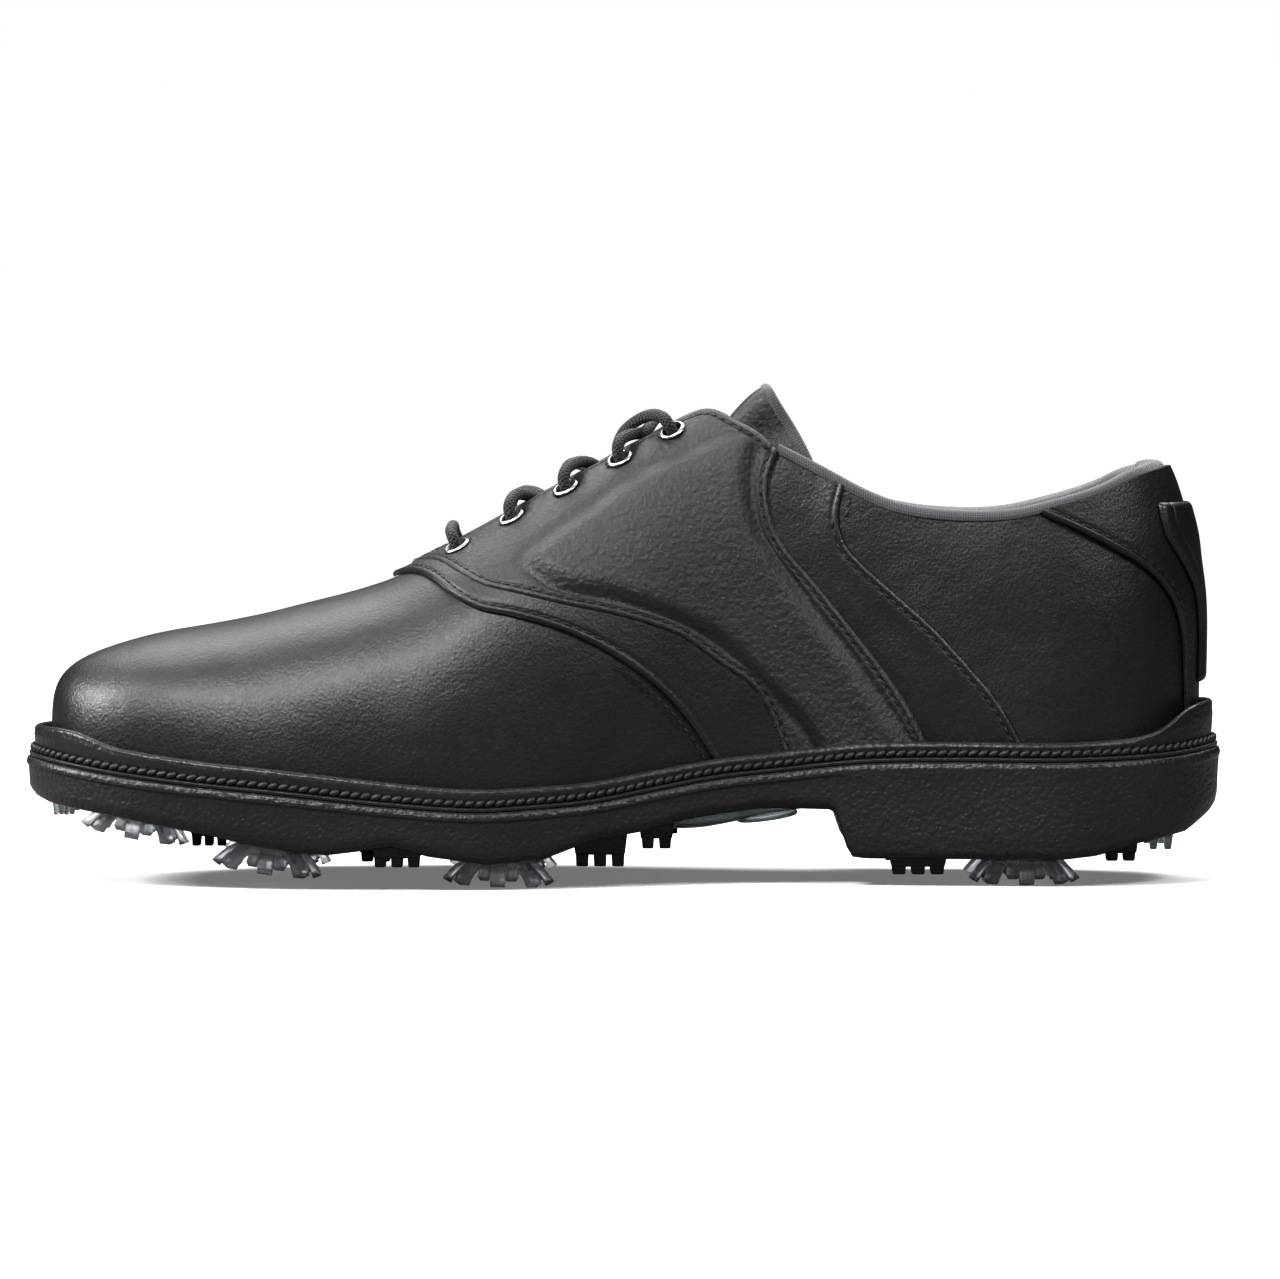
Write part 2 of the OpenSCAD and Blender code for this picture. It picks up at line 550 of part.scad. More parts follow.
module toe_puff() {
    color("#b9b2a2")
        panel(patch([[tip_k, 2], [tip_k, 90], [tip_k, 178]], [[-104 * kx, 2], [-104 * kx, 90],
            [-104 * kx, 178]],
            [[tip_k, 2], [-104 * kx, 2]], [[tip_k, 178], [-104 * kx, 178]], 7, 20), -1, backing_out,
                backing_in,
            pole = true);
}

module vamp_lining() {
    right = seam(lining_front);
    color("#4a4c50")
        panel(patch([for (w = [0, 90, 180]) [tip_k, w]], both(right), [[tip_k, 0], right[0]],
            [[tip_k, 180], [right[0][0], 180]], 15, 20), -1, lining_out, lining_in, pole = true);
}

module trim(s) {
    left = seam(trim_front);
    right = seam(saddle_front);
    color("#19191b")
        panel(patch(left, right, [left[0], right[0]], [last(left), last(right)], 3, 14),
            s, overlay_out - 0.3, overlay_in);
}
module trim_medial() trim(-1);
module trim_lateral() trim(1);

saddle_top = concat([[-53, 90], [-49, 89.5]], facing_edge, [[38.5, last(seam(saddle_back))[1]]]);
module saddle(s) {
    left = seam(saddle_front);
    right = seam(saddle_back);
    color("#232427")
        difference() {
            panel(patch(left, right, [left[0], right[0]], graded(saddle_top), 14, 14), s, overlay_out,
                overlay_in);
            for (row = [0:4])
                at_eyelet(row, s) translate([0, 0, -2]) cylinder(r = barrel_r + turn_gap, h = 6);
        }
}
module saddle_medial() saddle(-1);
module saddle_lateral() saddle(1);

// Part of the collar line between two stations, as angles
function collar(a, b, n) = [for (i = [0:n]) let (k = (a + (b - a) * i / n) * kx)
    [k, wall_angle(min(k, back_k), curve(collar_line, min(k, back_k) / kx))]];

module front_quarter(s) {
    left = seam(quarter_front);
    right = seam(quarter_seam);
    color("#1b1b1d")
        panel(patch(left, right, [left[0], right[0]],
            [last(left), each collar(38.5, 50, 2), last(right)], 4, 12), s, 0, leather_in);
}
module front_quarter_medial() front_quarter(-1);
module front_quarter_lateral() front_quarter(1);

module rear_quarter(s) {
    left = seam(quarter_seam);
    top = collar(55, back_k / kx, 8);
    right = [for (j = [0:4]) [back_k, top[8][1] * j / 4]];
    color("#1b1b1d")
        panel(patch(left, right, [left[0], right[0]], concat([last(left)], [for (i = [1:8]) top[i]]),
            12, 12),
            s, 0, leather_in);
}
module rear_quarter_medial() rear_quarter(-1);
module rear_quarter_lateral() rear_quarter(1);

module heel_panel() {
    left = seam(heel_seam);
    top = concat([last(left)], collar(106, back_k / kx, 6));
    color("#1b1b1d")
        panel(patch(left, mirrored(left), [left[0], mirrored(left)[0]],
            concat(top, [for (i = [len(top) - 2:-1:0]) mirrored(top)[i]]), 20, 10), -1, overlay_out,
                overlay_in);
}

module back_strap() {
    left = seam(strap_edge);
    right = mirrored(left);
    bottom = [for (i = [0:4]) [left[0][0] + (right[0][0] - left[0][0]) * i / 4, left[0][1]]];
    top = [for (i = [0:6]) let (k = last(left)[0] + (last(right)[0] - last(left)[0]) * i / 6)
        [k, wall_angle(min(k, 2 * back_k - k), last(strap_edge)[1])]];
    color("#161617") panel(patch(left, right, bottom, top, 8, 12), -1, strap_out, strap_in);
}

module heel_counter() {
    left = [[100 * kx, 2], [100 * kx, wall_angle(100 * kx, 55)]];
    right = mirrored(left);
    top = [for (i = [0:8]) let (k = left[0][0] + (right[0][0] - left[0][0]) * i / 8)
        [k, wall_angle(min(k, 2 * back_k - k), 55 + 10 * sin(180 * i / 8))]];
    color("#b9b2a2") panel(patch(left, right, [left[0], right[0]], top, 16, 6), -1, backing_out,
        backing_in);
}

module backing(s) {
    top = seam([[-42, 77], [-20, 88], [10, 94], [30, 82], [45, 66], [62, 56], [80, 54], [99, 54]]);
    left = [[-42 * kx, 2], top[0]];
    right = [[99 * kx, 2], last(top)];
    color("#77797d") panel(patch(left, right, [left[0], right[0]], top, 16, 8), s, backing_out,
        backing_in);
}
module backing_medial() backing(-1);
module backing_lateral() backing(1);

// Share of the collar's padding at a wrap point: full just under the collar, none well below it
pad_band = 20;
function pad_share(p) =
    let (k = min(p[0], 2 * back_k - p[0]), edge = curve(collar_line, k / kx) * kz,
         down = edge - face_point(k, p[1], 1)[2])
    blend01((k / kx - 45) / 20) * blend01((pad_band - down) / 12) * (0.5 + 0.5 * blend01(down / 6));

function lining_grid() =
    let (edge = seam(lining_front), left = concat([for (q = edge) if (q[1] < 72) q + [0.6, 0]],
        [[-44 * kx, 83]]),
         open = graded(facing_edge), top = concat(open, collar(38.5, back_k / kx, 14)),
         n = len(top))
    patch(left, mirrored(left), [left[0], mirrored(left)[0]],
        concat(top, [for (i = [n - 2:-1:0]) mirrored(top)[i]]), 54, 12);

module quarter_lining() {
    grid = lining_grid();
    color("#4a4c50")
        difference() {
            sheet([for (c = grid) [for (p = c) wrap(p, -1, lining_out - pad_swell * pad_share(p))]],
                [for (c = grid) [for (p = c) wrap(p, -1, lining_in - pad_swell * pad_share(p))]]);
            for (s = [-1, 1]) for (row = [0:4])
                at_eyelet(row, s) translate([0, 0, -9]) cylinder(r = barrel_r + turn_gap, h = 8);
        }
}

module collar_padding() {
    top_rows = [8:12];
    grid = [for (c = lining_grid()) if (min(last(c)[0],
        2 * back_k - last(c)[0]) > 50 * kx) [for (j = top_rows) c[j]]];
    color("#5c5f63")
        sheet([for (c = grid) [for (p = c) wrap(p, -1, leather_in - layer_gap)]],
            [for (c = grid) [for (p = c) wrap(p, -1,
                lining_out + layer_gap - pad_swell * pad_share(p))]]);
}

module collar_binding() {
    half = collar(38.5, back_k / kx, 16);
    top = concat(half, [for (i = [15:-1:0]) [2 * back_k - half[i][0], half[i][1]]]);
    function rise(p, h) = let (k = min(p[0], 2 * back_k - p[0]))
        [p[0], wall_angle(k, (face_point(k, p[1], 1)[2] + h - 26 * (1 - kz)) / kz)];
    grid = [for (p = top) [rise(p, 0.4), rise(p, binding_h)]];
    color("#55585c")
        sheet([for (c = grid) [wrap(c[0], -1, 0), wrap(c[1], -1, -0.8)]],
            [for (c = grid) [wrap(c[0], -1, lining_in - 0.5 - pad_swell * pad_share(c[0])),
                wrap(c[1], -1, lining_in + 0.5 - pad_swell * pad_share(c[1]))]]);
}

// ---- Tongue, eyelets and lace ----

tongue_edge = [[-50, 64], [-20, 60], [5, 54], [25, 49], [46, 45.5]];
tongue_top = [[46, 45.5], [41, 58], [36, 73], [34, 90]];
function tongue_grid() =
    let (low_side = graded(tongue_edge), tip = graded(tongue_top))
    patch([[low_side[0][0], 64], [low_side[0][0], 90], [low_side[0][0], 116]],
        concat(tip, reversed(over_top([for (i = [0:2]) tip[i]]))), low_side, over_top(low_side), 12, 12);

// The tongue lies deep under the laces, and its middle comes up behind the lacing
function tongue_lift(p) =
    tongue_rise * blend01((p[0] / kx - 14) / 20) * blend01(1 - (abs(90 - p[1]) - 10) / 24);

module tongue_sheet(d_out, d_in) {
    grid = tongue_grid();
    sheet([for (c = grid) [for (p = c) surf(p[0], p[1], -1, d_out + tongue_lift(p))]],
        [for (c = grid) [for (p = c) surf(p[0], p[1], -1, d_in + tongue_lift(p))]]);
}
module tongue() {
    color("#1f1f22") tongue_sheet(tongue_out, tongue_mid);
}
module tongue_lining() {
    color("#55585c") tongue_sheet(tongue_pad_out, tongue_pad_in);
}

barrel_r = eyelet_bore / 2 + 0.3;
eyelet_lift = overlay_out + 0.25;
module eyelets() {
    color("#c9ccd0")
        for (s = [-1, 1]) for (row = [0:4])
            at_eyelet(row, s)
                rotate_extrude()
                    polygon([[eyelet_bore / 2, lining_in - 0.2], [barrel_r, lining_in - 0.2], [barrel_r,
                        eyelet_lift],
                        [eyelet_d / 2, eyelet_lift], [eyelet_d / 2 - 0.3, eyelet_lift + 0.5],
                        [eyelet_bore / 2, eyelet_lift + 0.5]]);
}

// Route of one half of the lace, from the middle of the first bar to the tip inside the shoe:
// [station, angle round the upper, side, depth]. Side 1 starts here, -1 is across the throat.
lace_half = [[-41, 87, 1, 4.6], [-41, 81, 1, 4.8], [-41, 76.6, 1, 5], [-41, 73.8, 1, 3.2], [-41, 73.5,
    1, -2],
    [-40.8, 73.8, 1, -5.2], [-39.6, 76.4, 1, -6.6], [-37, 84, 1, -6.4],
    [-34, 90, 1, -5.2], [-31, 84, -1, -6.4], [-28.6, 76.4, -1, -6.6], [-27.7, 73.8, -1, -5.2],
    [-27.5, 73.5, -1, -2], [-27.3, 73.8, -1, 3.2], [-26, 76.2, -1, 5], [-24.4, 80.5, -1, 4.4],
    [-22.6, 85.5, -1, 2.3], [-20.7, 90, 1, -1.2], [-18.9, 85.4, 1, -5.2], [-17.2, 79.5, 1, -6.6],
    [-14.7, 74.2, 1, -5.8], [-14, 73.5, 1, -2], [-13.8, 73.8, 1, 3.2], [-12.5, 76.2, 1, 5],
    [-10.9, 80.5, 1, 4.4], [-9.1, 85.5, 1, 2.3], [-7.2, 90, 1, -1.2], [-5.4, 85.4, -1, -5.2],
    [-3.7, 79.5, -1, -6.6], [-1.2, 74.2, -1, -5.8], [-0.5, 73.5, -1, -2], [-0.3, 73.8, -1, 3.2],
    [1, 76.2, -1, 5], [3, 81, -1, 4.6], [6, 90, -1, 3.4], [9.4, 82, 1, 4.6], [11.6, 76.6, 1, 5],
    [12.4, 73.8, 1, 3.2], [12.5, 73.5, 1, -2], [12.8, 73, 1, -5.2], [14.2, 70, 1, -6.4], [18, 62, 1,
        -6.4],
    [22, 52, 1, -6.4], [25, 40, 1, -6.5], [27, 26, 1, -6.6], [31, 13, 1, -6.8], [40, 6, 1, -7], [56, 5,
        1, -7],
    [70, 5, 1, -7.2], [82, 5, 1, -7.4]];
// At each crossing one strand runs over the other by this much
crossings = [[8, 1.7], [17, 1.7], [26, 1.7], [34, 1.7]];
function lace_lift(i, over) =
    sum([for (c = crossings) abs(i - c[0]) <= 1 ? c[1] * (i == c[0] ? 1 : 0.45) : 0]) * over;
function sum(v) = len(v) == 0 ? 0 : [for (i = 0, t = v[0]; i < len(v); i = i + 1,
    t = i < len(v) ? t + v[i] : t) t][len(v) - 1];
function lace_side(first, over) = [for (i = [0:len(lace_half) - 1]) let (p = lace_half[i])
    surf(p[0] * kx, p[1], p[2] * first, p[3] + lace_lift(i, over))];
lace_medial = lace_side(-1, 1);
lace_lateral = lace_side(1, -1);

module lace() {
    color("#141414") tube(concat(reversed(lace_medial), lace_lateral), lace_d, 8);
}

module lace_tip(p) {
    n = len(p);
    end = p[n - 1];
    dir = unit(end - p[n - 2]);
    color("#101010")
        translate(end + dir * 0.05)
            rotate([0, acos(dir[2]), atan2(dir[1], dir[0])])
                cylinder(d = lace_d + 0.2, h = aglet_len);
}
module lace_tip_medial() lace_tip(lace_medial);
module lace_tip_lateral() lace_tip(lace_lateral);

outsole();
arch_insert();
toe_grip();
heel_grip();
welt();
welt_stitching();
midsole();
shank();
insole_board();
sock_liner();
cleat_receptacles();
cleat(0);  // cleat_1
cleat(1);  // cleat_2
cleat(2);  // cleat_3
cleat(3);  // cleat_4
cleat(4);  // cleat_5
cleat(5);  // cleat_6
cleat(6);  // cleat_7
vamp();
toe_puff();
vamp_lining();
trim_medial();
trim_lateral();
saddle_medial();
saddle_lateral();
front_quarter_medial();
front_quarter_lateral();
rear_quarter_medial();
rear_quarter_lateral();
heel_panel();
back_strap();
heel_counter();
backing_medial();
backing_lateral();
quarter_lining();
collar_padding();
collar_binding();
tongue();
tongue_lining();
eyelets();
lace();
lace_tip_medial();
lace_tip_lateral();
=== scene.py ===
"""Golf shoe: the finished pieces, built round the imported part. Shapes are worked out in millimetres."""
import logging
import math
from dataclasses import dataclass, field
from enum import Enum
from typing import Callable, Optional, Sequence

import bmesh
import bpy
import numpy as np
from mathutils import Matrix, Vector


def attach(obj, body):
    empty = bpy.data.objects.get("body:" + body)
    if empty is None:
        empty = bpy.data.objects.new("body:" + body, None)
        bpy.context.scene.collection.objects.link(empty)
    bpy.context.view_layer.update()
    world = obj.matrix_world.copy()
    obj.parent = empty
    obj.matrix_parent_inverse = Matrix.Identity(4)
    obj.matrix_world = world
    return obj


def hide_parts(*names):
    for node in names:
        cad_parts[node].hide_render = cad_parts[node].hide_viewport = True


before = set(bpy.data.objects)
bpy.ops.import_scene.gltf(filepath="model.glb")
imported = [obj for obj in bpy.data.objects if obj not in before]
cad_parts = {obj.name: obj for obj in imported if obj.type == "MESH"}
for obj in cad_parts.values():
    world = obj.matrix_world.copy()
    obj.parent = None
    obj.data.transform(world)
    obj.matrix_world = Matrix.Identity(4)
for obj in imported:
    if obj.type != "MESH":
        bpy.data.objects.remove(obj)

LOG = logging.getLogger("golf_shoe")
MM = 0.001
SHOE = "shoe"
TONGUE = "tongue"
Table = Sequence[Sequence[float]]


class Side(Enum):
    """The two sides of a right shoe."""

    MEDIAL = -1
    LATERAL = 1


# ---- Curves ----


def curve(table: Table, x: np.ndarray) -> np.ndarray:
    """Smooth values of a table of (x, value) at x.

    Args:
        table: the table's rows, in rising x.
        x: where the value is wanted; past the ends the end value holds.
    Returns:
        The values.
    """
    t = np.asarray(table, float)
    xs, ys, n = t[:, 0], t[:, 1], len(t) - 1
    lo, hi = np.maximum(np.arange(n + 1) - 1, 0), np.minimum(np.arange(n + 1) + 1, n)
    slope = (ys[hi] - ys[lo]) / (xs[hi] - xs[lo])
    v = np.clip(x, xs[0], xs[-1])
    i = np.clip(np.searchsorted(xs, v, side="right") - 1, 0, n - 1)
    h = xs[i + 1] - xs[i]
    u = (v - xs[i]) / h
    a, b = slope[i] * h, slope[i + 1] * h
    return ((2 * u**3 - 3 * u**2 + 1) * ys[i] + (u**3 - 2 * u**2 + u) * a
            + (3 * u**2 - 2 * u**3) * ys[i + 1] + (u**3 - u**2) * b)


def along(points: np.ndarray, u: np.ndarray) -> np.ndarray:
    """Points at the shares u of a smooth line through some points.

    Args:
        points: the points that the line passes, one row each.
        u: shares from 0 to 1.
    Returns:
        One row for each share.
    """
    p = np.asarray(points, float)
    n = len(p) - 1
    i = np.minimum(np.floor(np.asarray(u) * n).astype(int), n - 1)
    f = (np.asarray(u) * n - i)[:, None]
    a = (p[i + 1] - p[np.maximum(i - 1, 0)]) / np.where(i == 0, 1, 2)[:, None]
    b = (p[np.minimum(i + 2, n)] - p[i]) / np.where(i == n - 1, 1, 2)[:, None]
    return ((2 * f**3 - 3 * f**2 + 1) * p[i] + (f**3 - 2 * f**2 + f) * a
            + (3 * f**2 - 2 * f**3) * p[i + 1] + (f**3 - f**2) * b)


def even(points: np.ndarray, n: int = 12, fine: int = 240) -> np.ndarray:
    """The same line through evenly spaced points."""
    q = along(points, np.linspace(0, 1, fine + 1))
    far = np.concatenate([[0], np.cumsum(np.linalg.norm(np.diff(q, axis=0), axis=1))])
    return along(points, np.interp(far[-1] * np.linspace(0, 1, n + 1), far, np.linspace(0, 1, fine + 1)))


def blend01(u: np.ndarray) -> np.ndarray:
    """Smooth step from 0 to 1."""
    v = np.clip(u, 0, 1)
    return v * v * (3 - 2 * v)


def unit(v: np.ndarray) -> np.ndarray:
    """Rows of a vector array at length 1."""
    return v / np.maximum(np.linalg.norm(v, axis=-1, keepdims=True), 1e-9)


def bell(x: np.ndarray, middle: float, width: float) -> np.ndarray:
    """A smooth hump of height 1."""
    return np.exp(-(((x - middle) / width) ** 2))


# ---- The last that the shoe is built on ----

LOW, HIGH = 0.0, 999.0


@dataclass
class Last:
    """Outer face of the upper and the outline of the sole, in millimetres."""

    length: float = 300.0
    inset: float = 6.0
    toe_k: float = -90.0
    heel_k: float = 105.0
    toe_arc: float = 60.0
    heel_arc: float = 55.0
    toe_power: float = 2 / 2.3
    heel_power: float = 2 / 2.1
    dome_power: float = 0.42
    wall_power: float = 2.3
    bulge: float = 0.05
    plan_half: Table = ((-150, 42), (-110, 45.5), (-85, 50), (-60, 52.5), (-40, 53), (-20, 51), (0, 47.5),
                        (20, 42.5), (40, 38.5), (60, 37), (80, 37.5), (105, 38), (150, 37))
    plan_mid: Table = ((-150, -8), (-110, -4), (-85, -1.5), (-60, -0.5), (-40, 0), (-20, 1.5), (0, 3.5),
                       (20, 5), (40, 4.5), (60, 2.5), (80, 0.5), (105, -1.5), (150, -2.5))
    ridge_mid: Table = ((-150, -8), (-110, -5), (-60, -3), (0, -2.5), (150, -2.5))
    stitch_line: Table = ((-150, 34), (-137, 31.8), (-124, 29.8), (-105, 27.5), (-86, 25.7), (-60, 23),
                          (-38, 21.4), (-23, 22), (-8, 23.3), (8, 26.2), (23, 28.8), (39, 30.5), (60, 32.6),
                          (82, 33.1), (109, 33.1), (136, 34.2), (150, 36))
    lip_extra: Table = ((-150, 1.5), (-137, 3), (-124, 0.8), (-60, 0), (20, -1), (60, -1), (120, -1),
                        (132, 0.5), (141, 5.5), (150, 6))
    bottom_line: Table = ((-150, 22.5), (-143, 20.5), (-124, 17.5), (-105, 14), (-88, 10.5), (-73, 8.8),
                          (-57, 10.8), (-48, 8.5), (-33, 6.4), (-20, 7.6), (-8, 12), (4, 14), (16, 17),
                          (34, 19.5), (52, 19), (56, 7.4), (60, 6.9), (109, 6.9), (117, 7.8), (127, 10.6),
                          (140, 13.2), (150, 19.5))
    ridge_line: Table = ((-150, 62.5), (-131, 63), (-118, 63.8), (-105, 64.6), (-93, 66.4), (-80, 69.5),
                         (-68, 72.6), (-58, 76), (-50, 80), (-30, 91), (-10, 102.2), (10, 113.4), (20, 119),
                         (35, 127), (50, 132.5), (70, 134), (90, 132.5), (120, 130.5), (160, 130))
    back_line: Table = ((34, 142.8), (50, 143), (64, 143.2), (72, 142.9), (80, 141.9), (87, 141),
                        (95, 138.9), (101, 136.9), (106, 134.6))

    @property
    def tip_k(self) -> float:
        """Station of the tip of the toe."""
        return self.toe_k - self.toe_arc

    @property
    def back_k(self) -> float:
        """Station of the back of the heel."""
        return self.heel_k + self.heel_arc

    def stitch_z(self, x: np.ndarray) -> np.ndarray:
        """Height of the stitch line of the welt."""
        return curve(self.stitch_line, x)

    def lip_z(self, x: np.ndarray) -> np.ndarray:
        """Height of the top of the welt's lip."""
        return self.stitch_z(x) + 4 + curve(self.lip_extra, x)

    def bottom_z(self, x: np.ndarray) -> np.ndarray:
        """Height of the underside of the outsole."""
        t = np.asarray(self.bottom_line)
        return np.interp(x, t[:, 0], t[:, 1])

    def turn(self, k: np.ndarray) -> np.ndarray:
        """How far a station has turned round the toe or the heel, in radians."""
        toe = np.clip((self.toe_k - k) / self.toe_arc, 0, 1)
        heel = np.clip((k - self.heel_k) / self.heel_arc, 0, 1)
        return (toe + heel) * math.pi / 2

    def plan_x(self, k: np.ndarray, inset: float) -> np.ndarray:
        """X of a station on the outline at an inset."""
        k = np.asarray(k, float)
        s = np.maximum(np.sin(self.turn(k)), 0)
        half = self.length / 2 - inset
        toe = self.toe_k - (self.toe_k + half) * s**self.toe_power
        heel = self.heel_k + (half - self.heel_k) * s**self.heel_power
        return np.where(k < self.toe_k, toe, np.where(k > self.heel_k, heel, k))

    def plan_w(self, k: np.ndarray, inset: float) -> np.ndarray:
        """Half width of the outline at an inset."""
        c = np.maximum(np.cos(self.turn(k)), 0)
        p = np.where(k < self.toe_k, self.toe_power, np.where(k > self.heel_k, self.heel_power, 1))
        return (curve(self.plan_half, self.plan_x(k, inset)) - inset) * c**p

    def ridge_z(self, k: np.ndarray) -> np.ndarray:
        """Height of the ridge of the upper."""
        x = self.plan_x(np.minimum(k, self.heel_k), self.inset)
        f = self.stitch_z(x)
        top = curve(self.ridge_line, np.where(k > self.heel_k, k, x))
        c = np.maximum(np.cos(self.turn(k)), 0)
        return np.where(k < self.toe_k, f + (top - f) * c**self.dome_power, top)

    def wall_angle(self, k: np.ndarray, z: np.ndarray) -> np.ndarray:
        """Angle round the upper, 0 at the sole and 90 at the ridge, for a height."""
        f = self.stitch_z(self.plan_x(k, self.inset))
        q = np.clip((z - f) / np.maximum(self.ridge_z(k) - f, 1e-6), 0, 1)
        a = np.degrees(np.arcsin(q ** (self.wall_power / 2)))
        return np.where(z <= LOW, 0, np.where(z >= HIGH, 90, a))

    def face(self, k: np.ndarray, a: np.ndarray, s: float) -> np.ndarray:
        """Points of the outer face at stations k and angles a, on side s."""
        r = np.radians(a)
        q = np.clip(np.sin(r), 0, 1) ** (2 / self.wall_power)
        g = np.abs(np.cos(r)) ** (2 / self.wall_power)
        side = np.where(a > 90, -s, s)
        x0 = self.plan_x(k, self.inset)
        f = self.stitch_z(x0)
        z = f + (self.ridge_z(k) - f) * q
        reach = curve(self.back_line, z) - self.heel_k
        back = self.heel_k + reach * np.sin(self.turn(k)) ** self.heel_power
        x = np.where(k > self.heel_k, back, x0)
        mid, top = curve(self.plan_mid, x), curve(self.ridge_mid, x)
        swell = 1 + self.bulge * np.sin(2 * r) ** 2 * np.where(k > 0, 1 - blend01(k / 40), 1)
        return np.stack([x, mid * g + top * (1 - g) + side * self.plan_w(k, self.inset) * g * swell, z], -1)

    def normal(self, k: np.ndarray, a: np.ndarray, s: float) -> np.ndarray:
        """Outward directions of the face."""
        h = 0.4
        kk, aa = np.maximum(k, self.tip_k + 1), np.clip(a, 0.6, 179.4)
        d1 = self.face(np.minimum(kk + h, self.back_k), aa, s) - self.face(kk - h, aa, s)
        d2 = self.face(kk, aa + h, s) - self.face(kk, aa - h, s)
        n = unit(np.cross(d1, d2)) * -s
        return np.where((k <= self.tip_k)[:, None], np.array([-1.0, 0, 0]), n)

    def wrap(self, k: np.ndarray, a: np.ndarray, s: float, d: np.ndarray) -> np.ndarray:
        """Points at depth d off the face; a station past the back runs on up the other side."""
        k, a = np.asarray(k, float), np.asarray(a, float)
        d = np.broadcast_to(np.asarray(d, float), k.shape)[:, None]
        over = k > self.back_k
        kk = np.where(over, 2 * self.back_k - k, k)
        near = self.face(kk, a, s) + d * self.normal(kk, a, s)
        far = self.face(kk, a, -s) + d * self.normal(kk, a, -s)
        return np.where(over[:, None], far, near)

    def seam(self, points: Table) -> np.ndarray:
        """A seam given by heights, as evenly spaced (station, angle) rows."""
        p = np.asarray(points, float)
        return even(np.stack([p[:, 0], self.wall_angle(p[:, 0], p[:, 1])], -1))

    def mirrored(self, p: np.ndarray) -> np.ndarray:
        """The same seam on the other side, reached past the back."""
        return np.stack([2 * self.back_k - p[:, 0], p[:, 1]], -1)


LAST = Last()


@dataclass(frozen=True)
class Layers:
    """Depths of the upper's layers off the leather's outer face."""

    leather: float = 1.2
    lining_out: float = -2.95
    lining_in: float = -4.2
    overlay_out: float = 1.65
    overlay: float = 1.2
    strap_out: float = 3.5
    strap: float = 1.5
    tongue_out: float = -8.6
    tongue: float = 1.2
    tongue_pad_out: float = -10.15
    tongue_pad: float = 1.8
    pad_swell: float = 5.0


LAYERS = Layers()

TRIM_FRONT = ((23, LOW), (12.5, 45), (5.5, 51.5), (-3.5, 58), (-15, 63.5), (-31, 68), (-42, 71.7),
              (-58, HIGH))
SADDLE_FRONT = ((40, LOW), (37, 42.5), (31, 49.5), (22, 56), (12.5, 62.5), (4, 65.5), (-8, 68.5),
                (-23, 71.5), (-38.5, 75.7), (-53, HIGH))
SADDLE_BACK = ((76, LOW), (69.5, 46.5), (57, 63.5), (49, 73.5), (40, 84), (36.7, 91.3), (35.7, 99.5),
               (38.5, 107.5))
VAMP_BACK = ((49, LOW), (42, 45), (30, 58), (10, 68.5), (-14, 74.5), (-35.5, 78.5), (-45, 80.7),
             (-49.5, HIGH))
QUARTER_FRONT = ((66, LOW), (60, 46), (47, 63), (38, 74), (30, 85), (28, 92), (28, 101), (31, 111))
QUARTER_SEAM = ((99.5, LOW), (93, 45.5), (86.5, 53.5), (77.5, 63.5), (68.5, 71.7), (58.7, 80.5), (54, 87),
                (53.5, 92.3), (55, 99))
HEEL_SEAM = ((145, LOW), (144.5, 48), (143.5, 57), (141.5, 65), (136.5, 72.5), (129.5, 78.5), (121, 83.3),
             (112.5, 87.8), (103, 92.4))
STRAP_EDGE = ((151, 50), (151.5, 62.5), (149, 71.5), (143, 79), (136, 87), (136, 94.5))
LINING_FRONT = ((-5, LOW), (-25, 60), (-41, 78), (-48, HIGH))
COLLAR_LINE = ((38.5, 107.5), (42.5, 105.5), (50.5, 101.3), (59.5, 96.5), (68.5, 93), (82, 91.2),
               (96, 91.5), (109, 94.5), (120, 97.6), (132, 101.3), (149, 103.3), (160, 103.5))
FACING_EDGE = ((-44, 83), (-20, 82), (8, 80.5), (17, 79), (22, 75), (28, 64), (33.5, 56.5))
EYELET_ROWS = (-41, -27.5, -14, -0.5, 12.5)
EYELET_ANGLE = 73.5
# The moulded pad of the saddle, in side view: (station, height)
PAD_LOWER = ((-24.6, 79.5), (-15.3, 73.9), (-3.7, 71.7), (6.2, 68.6), (15.5, 64.6), (23.3, 60.6),
             (30.9, 53.2), (38, 46.2), (44.8, 39.4), (50, 30))
PAD_BACK = ((74, 30), (69.5, 37.6), (62.2, 47.9), (55.1, 57.8), (46.3, 68.6), (38, 80.2), (33.2, 87.8),
            (31.4, 94.1), (30.9, 100.9), (32.4, 108.7))
PAD_UPPER = ((34.2, 111.8), (29.4, 112.3), (23.3, 110.5), (15.5, 106.7), (7.7, 103.2), (0.1, 98.7),
             (-7.7, 92.8), (-15.3, 87.8), (-23.1, 82.2))


def collar(a: float, b: float, n: int) -> np.ndarray:
    """Part of the collar line between two stations, as (station, angle) rows."""
    k = np.linspace(a, b, n + 1)
    inner = np.minimum(k, LAST.back_k)
    return np.stack([k, LAST.wall_angle(inner, curve(COLLAR_LINE, inner))], -1)


def over_top(p: np.ndarray) -> np.ndarray:
    """The same line on the far side of the ridge."""
    return np.stack([p[:, 0], 180 - p[:, 1]], -1)


def pad_share(k: np.ndarray, a: np.ndarray) -> np.ndarray:
    """Share of the collar's padding at a place of the lining."""
    kk = np.minimum(k, 2 * LAST.back_k - k)
    down = curve(COLLAR_LINE, kk) - LAST.face(kk, a, 1)[:, 2]
    return blend01((kk - 45) / 20) * blend01((20 - down) / 12) * (0.5 + 0.5 * blend01(down / 6))


# ---- Shader graphs ----


